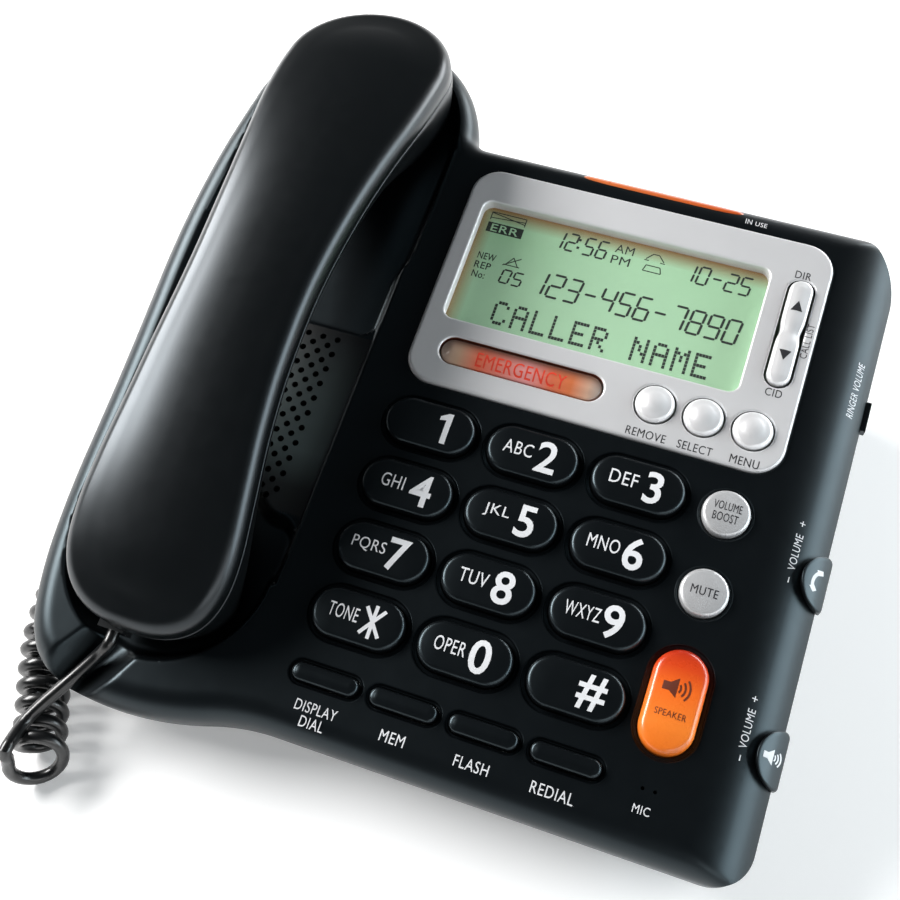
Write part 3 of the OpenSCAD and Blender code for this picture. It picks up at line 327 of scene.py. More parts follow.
def ramped(name, stops, axis, low, high, rough, shade, glow=0.0, coat=0.8):
    """Tinted clear plastic: tones along one axis, which carry painted light and shade, and a painted shade
    towards one edge.
    """
    material, tree, shader, where = node_material(name)
    node = tree.nodes.new("ShaderNodeValToRGB")
    tree.links.new(along_panel(tree, where, axis, low, high), node.inputs["Fac"])
    tones = node.color_ramp.elements
    tones[0].color = (*stops[0][1], 1)
    tones[1].color = (*stops[-1][1], 1)
    for place, tone in stops[1:-1]:
        tones.new(place).color = (*tone, 1)
    dark, start, end = shade
    tone = mixed(tree, along_panel(tree, where, "Y", start, end), node.outputs["Color"], dark)
    glow_with(tree, shader, tone, glow)
    uneven_gloss(tree, where, shader, rough, 0.03, 300.0)
    coat_with(shader, coat, 0.10)
    return material


def display_green():
    """Liquid crystal green, with a painted amber-brown shade along the top and the left, where the window's
    wall shades it.
    """
    material, tree, shader, where = node_material("display_green")
    left = along_panel(tree, where, "X", -34.0, -38.8)
    top = along_panel(tree, where, "Y", 99.6, 104.6)
    # Painted shade: amber-brown towards the top and left edges, where the window's wall shades the display.
    edge = combined(tree, "MAXIMUM", left, top)
    field = mixed(tree, noise(tree, where, 14.0, 1.0), (0.27, 0.46, 0.28), (0.33, 0.52, 0.34))
    glow_with(tree, shader, mixed(tree, edge, field, (0.22, 0.12, 0.035)), 0.22)
    shader.inputs["Roughness"].default_value = 0.5
    return material


def clear_lens():
    """Clear flat lens: nearly all light goes through, with a little gloss."""
    material, tree, shader, where = node_material("clear_lens")
    tone = mixed(tree, noise(tree, where, 40.0), (0.75, 0.80, 0.78), (0.82, 0.86, 0.84))
    tree.links.new(tone, shader.inputs["Base Color"])
    shader.inputs["Roughness"].default_value = 0.05
    shader.inputs["Alpha"].default_value = 0.025
    return material


COOL = (0.70, 0.90, 1.0)
PALE_COOL = (0.84, 0.93, 1.0)
BLACK = moulded("black_plastic", (0.0010, 0.0014, 0.0019), (0.0017, 0.0022, 0.0028), 0.36, 0.012,
                specular=0.40, sheen=COOL)
HANDSET_BLACK = moulded("handset_plastic", (0.0012, 0.0017, 0.0020), (0.0019, 0.0026, 0.0030), 0.305, 0.010,
                        sheen=PALE_COOL)
# Painted light and shade on the bridge's grille plate: lighter across its middle, dark towards both wells,
# and a painted shade at its rear end.
GRILLE_LIGHT_AND_SHADE = [
    (0, (0.0015, 0.0020, 0.0024)), (0.14, (0.0040, 0.0055, 0.0058)), (0.34, (0.052, 0.070, 0.070)),
    (0.62, (0.040, 0.054, 0.054)), (1, (0.004, 0.005, 0.006)),
]
GRILLE = ramped("grille_plastic", GRILLE_LIGHT_AND_SHADE, "Y", -6, 50, 0.5,
                ((0.0015, 0.0020, 0.0024), 48, 52), coat=0.0)
KEY_BLACK = moulded("key_plastic", (0.0014, 0.0018, 0.0022), (0.0022, 0.0026, 0.0032), 0.31, 0.012,
                    specular=0.48, sheen=COOL)
SILVER = moulded("silver_paint", (0.66, 0.66, 0.67), (0.72, 0.72, 0.73), 0.40, 0.03, 2600.0, 0.03, 0.30)
SILVER_KEY = moulded("silver_key_paint", (0.78, 0.78, 0.79), (0.85, 0.85, 0.86), 0.34, 0.03, 2600.0, 0.03,
                     0.35)
SIDE_KEY = moulded("side_key_paint", (0.50, 0.505, 0.515), (0.66, 0.665, 0.675), 0.34, 0.06, 2600.0, 0.05,
                   0.40)
WHITE_INK = moulded("white_ink", (0.66, 0.67, 0.69), (0.74, 0.75, 0.77), 0.55)
GREY_INK = moulded("grey_ink", (0.014, 0.014, 0.018), (0.022, 0.022, 0.026), 0.5)
RED_INK = moulded("red_ink", (0.62, 0.035, 0.015), (0.72, 0.05, 0.02), 0.45)
# Brown ink for the speaker key's print; on the bezel it is also painted shade on the wall round the
# emergency key.
BROWN_INK_AND_SHADE = moulded("brown_ink_and_shade", (0.10, 0.018, 0.006), (0.14, 0.025, 0.008), 0.5)
DISPLAY_INK = moulded("display_ink", (0.004, 0.010, 0.006), (0.008, 0.016, 0.010), 0.6)
# Speaker key: orange with a painted highlight towards its front end, painted shade towards its rear end, and
# a further painted shade along that end.
SPEAKER_LIGHT_AND_SHADE = [
    (0, (0.80, 0.17, 0.015)), (0.25, (0.86, 0.21, 0.025)), (0.6, (0.84, 0.14, 0.014)),
    (0.8, (0.62, 0.055, 0.008)), (1, (0.40, 0.020, 0.005)),
]
ORANGE = ramped("orange_plastic", SPEAKER_LIGHT_AND_SHADE, "Y", -38, -11, 0.28,
                ((0.36, 0.020, 0.006), -14, -10), 0.03, 0.25)
AMBER = tinted("amber_plastic", (0.60, 0.15, 0.04), (0.50, 0.08, 0.012), "X", -14, 37, 0.30, 0.04)
# Emergency key: orange-red in its middle with pale painted highlights towards both ends, and a painted shade
# along its top edge, where its recess shades it.
EMERGENCY_TONES_AND_HIGHLIGHTS = [
    (0, (0.46, 0.36, 0.30)), (0.12, (0.52, 0.34, 0.23)), (0.25, (0.66, 0.14, 0.075)),
    (0.42, (0.62, 0.21, 0.17)), (0.55, (0.66, 0.28, 0.27)), (0.70, (0.60, 0.14, 0.07)),
    (0.82, (0.58, 0.16, 0.06)), (0.92, (0.54, 0.33, 0.23)), (1, (0.42, 0.37, 0.33)),
]
PALE_ORANGE = ramped("pale_orange_plastic", EMERGENCY_TONES_AND_HIGHLIGHTS, "X", -35.3, 12.7, 0.2,
                     ((0.10, 0.042, 0.028), 52.6, 56.8), 0.06)
CORD_VINYL = moulded("cord_vinyl", (0.0022, 0.0025, 0.0028), (0.0036, 0.0040, 0.0044), 0.29, 0.04, 900.0,
                     specular=0.65)
DISPLAY_GREEN = display_green()
CLEAR_LENS = clear_lens()
# Painted shade: dark matte stuff for the walls and floors of holes and cuts, standing in for the shade
# inside them.
PAINTED_HOLE_SHADE = moulded("painted_hole_shade", (0.0015, 0.0015, 0.0016), (0.0025, 0.0025, 0.0026), 0.8, specular=0.1)
RUBBER = moulded("foot_rubber", (0.012, 0.012, 0.012), (0.020, 0.020, 0.020), 0.75, 0.05, 700.0, 0.1)
STEEL = moulded("screw_steel", (0.45, 0.45, 0.46), (0.55, 0.55, 0.56), 0.30, 0.06, 900.0, 0.04, 1.0)
SOCKET = moulded("socket_plastic", (0.012, 0.012, 0.013), (0.018, 0.018, 0.019), 0.45)
PLUG = tinted("plug_plastic", (0.010, 0.011, 0.012), (0.018, 0.019, 0.020), "X", -200, 0, 0.2)
LAMINATE = moulded("board_laminate", (0.02, 0.13, 0.05), (0.03, 0.17, 0.07), 0.5)
MEMBRANE = moulded("membrane_rubber", (0.30, 0.31, 0.30), (0.36, 0.37, 0.36), 0.7)
WHITE_PLASTIC = moulded("white_plastic", (0.70, 0.71, 0.70), (0.76, 0.77, 0.76), 0.45)

NODE_LOOKS = {
    "black_plastic": BLACK, "key_plastic": KEY_BLACK, "silver_plastic": SILVER, "orange_plastic": ORANGE,
    "pale_orange_plastic": PALE_ORANGE, "amber_plastic": AMBER, "clear_lens": CLEAR_LENS,
    "display_glass": DISPLAY_GREEN, "white_plastic": WHITE_PLASTIC, "board_laminate": LAMINATE,
    "membrane_rubber": MEMBRANE, "foot_rubber": RUBBER, "screw_steel": STEEL, "speaker_steel": STEEL,
    "socket_plastic": SOCKET, "plug_plastic": PLUG, "cord_vinyl": CORD_VINYL,
}


def dress_nodes():
    """Every CAD node that stays on show gets the look of its own material slot."""
    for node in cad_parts.values():
        for place in node.material_slots:
            base = place.material.name.split(".")[0] if place.material else ""
            place.material = NODE_LOOKS.get(base, BLACK)


dress_nodes()

# Curly cord: the route's points repeat the ones in the part's source
CORD_D = 3.6
COIL_R = 5.7
COIL_Z = 7.7
CURLS = 42
CURL_END = 22 / 360
FIRST_CURL_R = 7.2
FIRST_CURL_TURNS = 1.2
CURL_LEAN = 5.0
CURL_START = 158.0
OPEN_CURLS = 9
OPEN_SHARE = 0.265
AXIS_SOFT = 9.0
POINTS_A_TURN = 26
CORD_SIDES = 12
COIL_AXIS = np.array([
    [-103, -84], [-107.6, -75], [-112.6, -65.5], [-117.7, -55.5],
    [-121.5, -46.5], [-123.5, -38], [-124, -28], [-124, 102],
], float)
LEAD_POINTS = [
    [-95.5, -56, 25], [-99.5, -61, 21.5], [-103.2, -66.6, 19], [-106.6, -72.3, 17], [-108.8, -77.5, 15.7],
]
BASE_LEAD_POINTS = [[-129, 114, 8.6], [-126.5, 117.5, 9.4], [-122, 119, 10], [-117, 119, 10]]
BASE_PLUG_FACE = [-109, 119, 10]


def cord_route():
    """The cord's centreline from the handset's plug to the base's plug, in desk millimetres."""
    steps = np.linalg.norm(np.diff(COIL_AXIS, axis=0), axis=1)
    runs = np.concatenate([[0], np.cumsum(steps)])
    total = runs[-1]

    def axis(s):
        return np.array([np.interp(s, runs, COIL_AXIS[:, k]) for k in (0, 1)])

    def axis_soft(s):
        reach = min(AXIS_SOFT, s, total - s)
        return (axis(s - reach) + 2 * axis(s) + axis(s + reach)) / 4

    def curl(turn):
        opened = OPEN_SHARE * turn / OPEN_CURLS
        closed = OPEN_SHARE + (1 - OPEN_SHARE) * (turn - OPEN_CURLS) / (CURLS - OPEN_CURLS)
        s = min(total, total * (opened if turn < OPEN_CURLS else closed))
        heading = axis_soft(min(s + 1, total)) - axis_soft(max(s - 1, 0))
        heading /= np.linalg.norm(heading)
        r = COIL_R + (FIRST_CURL_R - COIL_R) * max(0.0, 1 - turn / FIRST_CURL_TURNS)
        a = math.radians(CURL_START + 360 * turn)
        centre = axis_soft(s) - heading * CURL_LEAN * max(0.0, 1 - turn) * (1 - math.sin(a)) / 2
        return np.array([
            centre[0] + heading[1] * r * math.cos(a),
            centre[1] - heading[0] * r * math.cos(a),
            COIL_Z + r - COIL_R + r * math.sin(a),
        ])

    turns = np.linspace(0, CURLS + CURL_END, int((CURLS + CURL_END) * POINTS_A_TURN) + 1)
    body = np.array([curl(t) for t in turns])
    first = body[0] - curl(1 / 16)
    first /= np.linalg.norm(first)
    lead_in = body[0] + CORD_D * first
    exit_point = panel_point(-93, -52.5, -0.5) - [DESK_X, DESK_Y, 0]
    way_out = np.array([0, -COS, -SIN])
    lead = [exit_point, exit_point + CORD_D * way_out, *LEAD_POINTS, lead_in + CORD_D * first, lead_in]
    tail = body[-1] + [0, 6.0, 0.6]
    base_lead = [body[-1] + [0, 2.4, 0.6], tail, tail + [0, CORD_D, 0], *BASE_LEAD_POINTS,
                 [BASE_PLUG_FACE[0] - CORD_D, *BASE_PLUG_FACE[1:]], BASE_PLUG_FACE]
    return np.vstack([eased(lead), body, eased(base_lead)])


def eased(points, step=1.2):
    """A smooth curve through the points."""
    p = np.array(points, float)
    padded = np.vstack([2 * p[0] - p[1], p, 2 * p[-1] - p[-2]])
    out = []
    for a, b, c, d in zip(padded, padded[1:], padded[2:], padded[3:]):
        count = max(2, int(np.linalg.norm(c - b) / step))
        for t in np.arange(count) / count:
            out.append(0.5 * (2 * b + (c - a) * t + (2 * a - 5 * b + 4 * c - d) * t ** 2
                              + (3 * b - a - 3 * c + d) * t ** 3))
    return np.array([*out, p[-1]])


def tube(shape, path, radius, sides):
    """A round tube along a path, carried without twist."""
    tangents = np.gradient(path, axis=0)
    tangents /= np.linalg.norm(tangents, axis=1)[:, None]
    side = np.cross(tangents[0], [0, 0, 1])
    side /= np.linalg.norm(side)
    rings = []
    for point, tangent in zip(path, tangents):
        side = side - tangent * (side @ tangent)
        side /= np.linalg.norm(side)
        other = np.cross(tangent, side)
        angles = 2 * np.pi * np.arange(sides) / sides
        rings.append(point + radius * (np.cos(angles)[:, None] * side + np.sin(angles)[:, None] * other))
    made = shape.stack(rings)
    shape.face(made[0][::-1])
    shape.face(made[-1])


def make_cord():
    route = cord_route() + [DESK_X, DESK_Y, 0]
    shape = Shape()
    tube(shape, route, CORD_D / 2, CORD_SIDES)
    cord = make("curly_cord", shape, [CORD_VINYL], body=None, matrix=Matrix.Identity(4),
                covers=("handset_lead", "coiled_cord", "base_lead"))
    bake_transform(cord)


make_cord()

# Base outline, in the panel's plan
PANEL_FRONT = 64.0
PANEL_REAR = 124.5
PANEL_RIGHT = 83.9
FRONT_CORNER_R = 11.0
REAR_CORNER_R = 19.0
CRADLE_U = -87.0
LOBE_HALF_W = 38.3
LOBE_REAR = 119.5
LOBE_FRONT = 71.0
# Left flank of the lobe from its rear to its front, as the photo shows it
LOBE_SIDE = [
    (-125.7, 119.5), (-127.7, 103.4), (-128.8, 87.4), (-129.1, 72.0), (-128.7, 57.3), (-127.9, 43.0),
    (-127.2, 29.2), (-126.6, 15.4), (-126.2, 2.1), (-125.8, -11.3), (-125.0, -23.9), (-123.7, -36.0),
    (-121.6, -47.0), (-119.0, -55.4), (-116.0, -61.0), (-112.6, -64.8), (-108.4, -67.6), (-103.6, -69.4),
]
LOBE_FRONT_R = 90.0
LOBE_BLEND_R = 60.0
REAR_FILLET_R = 5.0
EDGE_ROLL_R = 8.0
SIDE_ROLL_R = 22.0
ROLL_U = 66.0
FAR_INSIDE = 50.0
SKIRT_DEPTH = 12.0
BASE_WALL = 2.5


def outline():
    """Points round the base with their outward directions."""
    front_c = np.array([CRADLE_U - 1, LOBE_FRONT_R - LOBE_FRONT])
    blend_v = -PANEL_FRONT - LOBE_BLEND_R
    reach = LOBE_FRONT_R + LOBE_BLEND_R
    blend_c = np.array([front_c[0] + math.sqrt(reach ** 2 - (front_c[1] - blend_v) ** 2), blend_v])

    def heading(a, b):
        return math.degrees(math.atan2(b[1] - a[1], b[0] - a[0])) % 360

    blend_turn = heading(front_c, blend_c)
    lobe_c = np.array([CRADLE_U, LOBE_REAR])
    rise = PANEL_REAR + REAR_FILLET_R - LOBE_REAR
    fillet_c = lobe_c + [math.sqrt((LOBE_HALF_W + REAR_FILLET_R) ** 2 - rise ** 2), rise]
    fillet_turn = heading(lobe_c, fillet_c)
    points = []

    def line(a, b):
        a, b = np.array(a, float), np.array(b, float)
        count = max(2, int(np.linalg.norm(b - a) / 1.5))
        points.extend(a + (b - a) * t for t in np.arange(count) / count)

    def bow(centre, r, start, end):
        count = max(4, int(abs(math.radians(end - start)) * r / 1.0))
        for a in np.radians(start + (end - start) * np.arange(count) / count):
            points.append(np.array(centre) + r * np.array([math.cos(a), math.sin(a)]))

    line([blend_c[0], -PANEL_FRONT], [PANEL_RIGHT - FRONT_CORNER_R, -PANEL_FRONT])
    bow([PANEL_RIGHT - FRONT_CORNER_R, FRONT_CORNER_R - PANEL_FRONT], FRONT_CORNER_R, -90, 0)
    line([PANEL_RIGHT, FRONT_CORNER_R - PANEL_FRONT], [PANEL_RIGHT, PANEL_REAR - REAR_CORNER_R])
    bow([PANEL_RIGHT - REAR_CORNER_R, PANEL_REAR - REAR_CORNER_R], REAR_CORNER_R, 0, 90)
    line([PANEL_RIGHT - REAR_CORNER_R, PANEL_REAR], [fillet_c[0], PANEL_REAR])
    bow(fillet_c, REAR_FILLET_R, -90, fillet_turn - 180)
    bow(lobe_c, LOBE_HALF_W, fillet_turn, 177)
    points.extend(eased([(u, v, 0) for u, v in LOBE_SIDE], 1.5)[:-1, :2])
    bow(front_c, LOBE_FRONT_R, heading(front_c, LOBE_SIDE[-1]), blend_turn)
    bow(blend_c, LOBE_BLEND_R, blend_turn - 180, 90)
    points = np.array(points)
    run = np.roll(points, -1, axis=0) - np.roll(points, 1, axis=0)
    for _ in range(3):
        run = (np.roll(run, -1, axis=0) + 2 * run + np.roll(run, 1, axis=0)) / 4
    outward = np.column_stack([run[:, 1], -run[:, 0]])
    return points, outward / np.linalg.norm(outward, axis=1)[:, None]


# Cradle: two wells, the bridge between them and the cord's notch
WELL_DEPTH = 9.0
EAR_WELL_R = 33.0
EAR_WELL_FRONT = 51.0
EAR_WELL_REAR = 119.0
MOUTH_WELL_R = 30.0
MOUTH_WELL_V = -27.0
MOUTH_WELL_REAR = -6.5
CHANNEL_HALF_W = 31.5
BRIDGE_DROP = 2.0
WELL_CORNER_R = 7.0
NOTCH_AT = (-90.5, -52.0)
NOTCH_TURN = math.radians(59)
NOTCH_DEPTH = 7.0
NOTCH_FLARE = 8.5
NOTCH_FALL = 0.105
WALL_SLOPE = 3.2


def box_distance(u, v, low_v, high_v, half_w, r):
    """Signed distance to a rounded box about the cradle's axis."""
    mid = (low_v + high_v) / 2
    x = np.abs(u - CRADLE_U) - half_w + r
    y = np.abs(v - mid) - (high_v - low_v) / 2 + r
    outside = np.hypot(np.maximum(x, 0), np.maximum(y, 0))
    return outside + np.minimum(np.maximum(x, y), 0) - r


def cradle_height(u, v):
    """Height of the wells, the bridge and the notch, far above the panel away from them."""
    ear_v = np.clip(v, EAR_WELL_FRONT + EAR_WELL_R, EAR_WELL_REAR)
    ear_round = np.hypot(u - CRADLE_U, v - ear_v) - EAR_WELL_R
    ear_square = box_distance(u, v, EAR_WELL_FRONT, EAR_WELL_FRONT + 50, CHANNEL_HALF_W, WELL_CORNER_R)
    ear = np.minimum(ear_round, ear_square)
    mouth_round = np.hypot(u - CRADLE_U, v - MOUTH_WELL_V) - MOUTH_WELL_R
    mouth_square = box_distance(u, v, MOUTH_WELL_V, MOUTH_WELL_REAR, CHANNEL_HALF_W, WELL_CORNER_R)
    mouth = smooth_min(mouth_round, mouth_square, 3.0)
    bridge = box_distance(u, v, MOUTH_WELL_V, LOBE_REAR, CHANNEL_HALF_W, 1.0)
    deep = smooth_max(WALL_SLOPE * np.minimum(ear, mouth), -WELL_DEPTH, 3.0)
    shallow = smooth_max(WALL_SLOPE * bridge, -BRIDGE_DROP, 1.2)
    along = -(u - NOTCH_AT[0]) * math.cos(NOTCH_TURN) - (v - NOTCH_AT[1]) * math.sin(NOTCH_TURN)
    aside = (u - NOTCH_AT[0]) * math.sin(NOTCH_TURN) - (v - NOTCH_AT[1]) * math.cos(NOTCH_TURN)
    notch = aside ** 2 / NOTCH_FLARE - NOTCH_DEPTH - NOTCH_FALL * along + WALL_SLOPE * np.maximum(-along, 0)
    return smooth_min(smooth_min(deep, shallow, 1.6), notch, 2.4)


def edge_drop(d):
    """How far a rolled edge has fallen at a distance inside the outline."""
    x = np.clip(EDGE_ROLL_R - d, 0, EDGE_ROLL_R)
    return EDGE_ROLL_R - np.sqrt(EDGE_ROLL_R ** 2 - x ** 2)


def top_height(u, v, d):
    """Height of the base's top skin; d is the distance inside the outline."""
    straight = np.minimum(v + PANEL_FRONT, PANEL_REAR - v)
    front_rear = edge_drop(np.where(u > 40, straight, d))
    x = np.clip(u - ROLL_U, 0, SIDE_ROLL_R)
    side = SIDE_ROLL_R - np.sqrt(SIDE_ROLL_R ** 2 - x ** 2)
    skin = -np.cbrt(front_rear ** 3 + side ** 3)
    return smooth_min(skin, cradle_height(u, v), 2.0)


def panel_skin(u, v):
    """Height of the top skin well inside the outline."""
    return top_height(u, v, np.full(len(u), FAR_INSIDE))


# Keys: places, sizes and names
KEY_PITCH_X = 30.0
KEY_PITCH_Y = 19.3
KEY_SIZE = (26.0, 13.8)
FN_PITCH = 21.9
FN_SIZE = (18.6, 5.0)
FN_V = -46.6
SIDE_U = 54.5
SIDE_D = 13.0
SPEAKER_SIZE = (27.5, 14.5)
SPEAKER_V = -24.3
# Rise above the panel, edge roll and crown of each kind of key
DIAL_DOME = (2.6, 1.5, 0.35)
FN_DOME = (1.8, 1.1, 0.25)
SIDE_DOME = (1.8, 1.2, 0.45)
SPEAKER_DOME = (2.6, 2.2, 0.5)
MENU_DOME = (2.5, 1.7, 1.1)
EMERGENCY_DOME = (0.7, 1.2, 0.9)
ROCKER_DOME = (2.3, 1.3, 0.4)
KEY_FOOT = -3.0
WELL_SINK = 0.8
KEY_GAP = 0.35
WELL_RIM = 1.0
LIP = 0.45
DIAL_KEYS = [
    ("key_1", "", 0, "1"), ("key_2", "ABC", 8.3, "2"), ("key_3", "DEF", 7.8, "3"),
    ("key_4", "GHI", 6.6, "4"), ("key_5", "JKL", 7.2, "5"), ("key_6", "MNO", 8.8, "6"),
    ("key_7", "PQRS", 9.6, "7"), ("key_8", "TUV", 8.0, "8"), ("key_9", "WXYZ", 9.6, "9"),
    ("key_star", "TONE", 8.4, "*"), ("key_0", "OPER", 8.6, "0"), ("key_hash", "", 0, "#"),
]
FN_KEYS = ["display_dial_key", "memory_key", "flash_key", "redial_key"]
SIDE_KEYS = [
    ("volume_boost_key", 28.4, (("VOLUME", 7.6), ("BOOST", 6.8))),
    ("mute_key", 5.6, (("MUTE", 7.2),)),
]


def dial_at(i):
    return (i % 3 - 1) * KEY_PITCH_X, (1.5 - i // 3) * KEY_PITCH_Y


def fn_at(i):
    return (i - 1.5) * FN_PITCH, FN_V


def pill_ring(at, size, inset, h, count=56, upright=False):
    """Points round a pill, drawn in by inset."""
    r = size[1] / 2 - inset
    half = (size[0] - size[1]) / 2
    a = 2 * np.pi * (np.arange(count) + 0.5) / count
    x = r * np.cos(a) + np.sign(np.cos(a)) * half
    y = r * np.sin(a)
    if upright:
        x, y = -y, x
    return np.stack([x + at[0], y + at[1], np.full(count, h)], 1)


def key_places():
    """Every pill opening in the panel: centre, size, upright and the width of its sunk rim."""
    places = [(dial_at(i), KEY_SIZE, False, WELL_RIM) for i in range(len(DIAL_KEYS))]
    places += [(fn_at(i), FN_SIZE, False, 0.6) for i in range(len(FN_KEYS))]
    places += [((SIDE_U, v), (SIDE_D, SIDE_D), False, 0.45) for _, v, _ in SIDE_KEYS]
    places.append(((SIDE_U, SPEAKER_V), SPEAKER_SIZE, True, WELL_RIM))
    return places


# Top housing
BEZEL_AT = (10.65, 78.5)
BEZEL_SIZE = (109.3, 73.1)
BEZEL_R = 8.5
BEZEL_RISE = 1.0
BEZEL_SEAT = 1.2
GRILLE_U = -66.1
GRILLE_STEP_U = 2.3
GRILLE_PITCH_V = 4.85
GRILLE_TOP_V = 48.0
GRILLE_LOW_V = -4.5
GRILLE_COLUMNS = 19
GRILLE_ROWS = 12
GRILLE_HOLE_R = 0.95
GRID_STEP = 0.8
FINE_STEP = 0.55
FINE_REAR = -10.0
MIC_HOLES = [(52.9, -47.1), (56.1, -47.1)]
MIC_HOLE_R = 0.5
HOLE_DEPTH = 1.8
HOOK_AT = (-87.0, 112.0)
HOOK_SLOT = (7.6, 5.6)
EDGE_INSETS = [0, 0.12, 0.35, 0.7, 1.2, 1.8, 2.5, 3.2, 3.9, 4.6, 5.3, 6.0, 6.7, 7.4, 8.1]


def grid(u_range, v_range):
    """Points of a grid, from ranges of start, end and step."""
    u, v = np.meshgrid(np.arange(*u_range), np.arange(*v_range))
    return np.column_stack([u.ravel(), v.ravel()])


def rounded_ring(at, size, r, inset, h, count=12):
    """Points round a rounded rectangle, drawn in by inset."""
    half = (size[0] / 2 - r, size[1] / 2 - r)
    points = []
    for quarter, (sx, sy) in enumerate(((1, 1), (-1, 1), (-1, -1), (1, -1))):
        for k in range(count):
            a = math.radians(90 * (quarter + k / (count - 1)))
            points.append((at[0] + sx * half[0] + (r - inset) * math.cos(a),
                           at[1] + sy * half[1] + (r - inset) * math.sin(a), h))
    return np.array(points)


def grille_centres():
    centres = []
    for column in range(GRILLE_COLUMNS):
        for row in range(GRILLE_ROWS):
            u = GRILLE_U - column * GRILLE_STEP_U
            v = GRILLE_TOP_V - (row + 0.5 * (column % 2)) * GRILLE_PITCH_V
            if v > GRILLE_LOW_V:
                centres.append((u, v))
    return np.array(centres)


def drilled(shape, at, r, height, depth, sides, wall=0, floor=None):
    """The wall of a round hole in a curved skin, and its floor; gives the ring at the skin."""
    turn = 2 * np.pi * np.arange(sides) / sides
    u = at[0] + r * np.cos(turn)
    v = at[1] + r * np.sin(turn)
    h = height(u, v)
    made = shape.stack([np.column_stack([u, v, h]), np.column_stack([u, v, h + depth])], wall)
    if floor is not None:
        shape.face(made[1], floor)
    return made[0]


def make_top_housing():
    shape = Shape()
    points, outward = outline()
    rims = []
    for d in EDGE_INSETS:
        p = points - d * outward
        h = top_height(p[:, 0], p[:, 1], np.full(len(p), d))
        rims.append(np.column_stack([p, np.maximum(h, 0.6 - SKIRT_DEPTH)]))
    lip = ((BASE_WALL, -9.0), (BASE_WALL, -SKIRT_DEPTH), (0.3, -SKIRT_DEPTH), (0, 0.3 - SKIRT_DEPTH))
    low = [np.column_stack([points - d * outward, np.full(len(points), h)]) for d, h in lip]
    inner = shape.stack([*low, *rims])[-1]
    loop = rims[-1][:, :2]
    holes = []
    for at, size, upright, rim in key_places():
        wall = -KEY_GAP - rim
        steps = [
            (wall - LIP - 0.12, 0.0), (wall - LIP, 0.0), (wall - LIP * 0.4, -0.09), (wall - LIP * 0.1, -0.3),
            (wall, 0.15 - WELL_SINK), (wall + 0.15, -WELL_SINK), (-KEY_GAP - 0.1, -WELL_SINK),
            (-KEY_GAP, -WELL_SINK - 0.1), (-KEY_GAP, KEY_FOOT),
        ]
        rings = [pill_ring(at, size, inset, h, upright=upright) for inset, h in steps]
        holes.append(shape.stack(rings)[0])
    steps = ((-0.9, 0), (-0.5, 0), (-0.28, -0.12), (-0.2, -0.4), (-0.2, -BEZEL_SEAT), (2.0, -BEZEL_SEAT))
    seat = [rounded_ring(BEZEL_AT, BEZEL_SIZE, BEZEL_R, inset, h) for inset, h in steps]
    holes.append(shape.stack(seat)[0])
    centres = grille_centres()
    # The grille and mic holes end in a shallow floor; their walls and floor take the painted hole shade.
    for drills, r in ((centres, GRILLE_HOLE_R), (MIC_HOLES, MIC_HOLE_R)):
        holes += [drilled(shape, at, r, panel_skin, -HOLE_DEPTH, 12, 1, 1) for at in drills]
    slot = rounded_ring(HOOK_AT, HOOK_SLOT, 1.0, 0, -WELL_DEPTH, 5)
    holes.append(shape.stack([slot, slot - [0, 0, BASE_WALL]])[0])
    cradle = grid((-118, -48, GRID_STEP), (FINE_REAR, 150, GRID_STEP))
    mouth = grid((-120, -50, FINE_STEP), (-68, FINE_REAR, FINE_STEP))
    loose = np.vstack([cradle, mouth, grid((61.5, 78, 1.3), (-58, 118, 3.0))])
    gap = np.full(len(loose), 1e9)
    for p in loop:
        gap = np.minimum(gap, np.hypot(*(loose - p).T))
    for c in centres:
        gap = np.minimum(gap, np.hypot(*(loose - c).T) - GRILLE_HOLE_R + 0.35)
    loose = loose[(gap > 0.6) & inside(loose, loop)]
    extra = shape.ring(np.column_stack([loose, panel_skin(*loose.T)]))
    first = len(shape.faces)
    shape.fill(inner, holes, extra)
    spots = np.array([np.mean([shape.points[k] for k in face], axis=0) for face in shape.faces[first:]])
    # The bridge's faces take the grille material, which carries painted light and shade.
    on_bridge = (np.abs(spots[:, 0] - CRADLE_U) < CHANNEL_HALF_W) & (spots[:, 2] < 0.4 - BRIDGE_DROP)
    on_bridge &= (spots[:, 1] > MOUTH_WELL_REAR) & (spots[:, 1] < EAR_WELL_FRONT)
    for i in np.flatnonzero(on_bridge):
        shape.paints[first + i] = 2
    make("base_top", shape, [BLACK, PAINTED_HOLE_SHADE, GRILLE], covers=("top_housing",),
         sharp=50)


def inside(points, loop):
    """Which points lie inside a closed loop."""
    found = np.zeros(len(points), bool)
    for a, b in zip(loop, np.roll(loop, -1, axis=0)):
        if a[1] == b[1]:
            continue
        crosses = (a[1] > points[:, 1]) != (b[1] > points[:, 1])
        at = a[0] + (points[:, 1] - a[1]) / (b[1] - a[1]) * (b[0] - a[0])
        found ^= crosses & (points[:, 0] < at)
    return found


make_top_housing()


# Keys and their legends
PRINT_RISE = 0.04
FONT_STEP = 0.09
DRAW_STEP = 0.6
# Loudspeaker signs: places of the horn, its half-heights, the waves' radii, thickness and spread
KEY_SIGN = ((-3.2, -1.4, 0.6), (1.1, 2.6), (1.7, 2.9, 4.1), 0.32, 42)
KNOB_SIGN = ((-2.2, -1.0, 0.5), (0.8, 2.0), (1.3, 2.1, 2.9), 0.24, 40)
FIGURE_ONE = [(-0.1, 2.4), (-2.0, 2.0), (-2.0, 3.2), (0.2, 4.6), (1.5, 4.6), (1.5, -4.6), (-0.1, -4.6)]


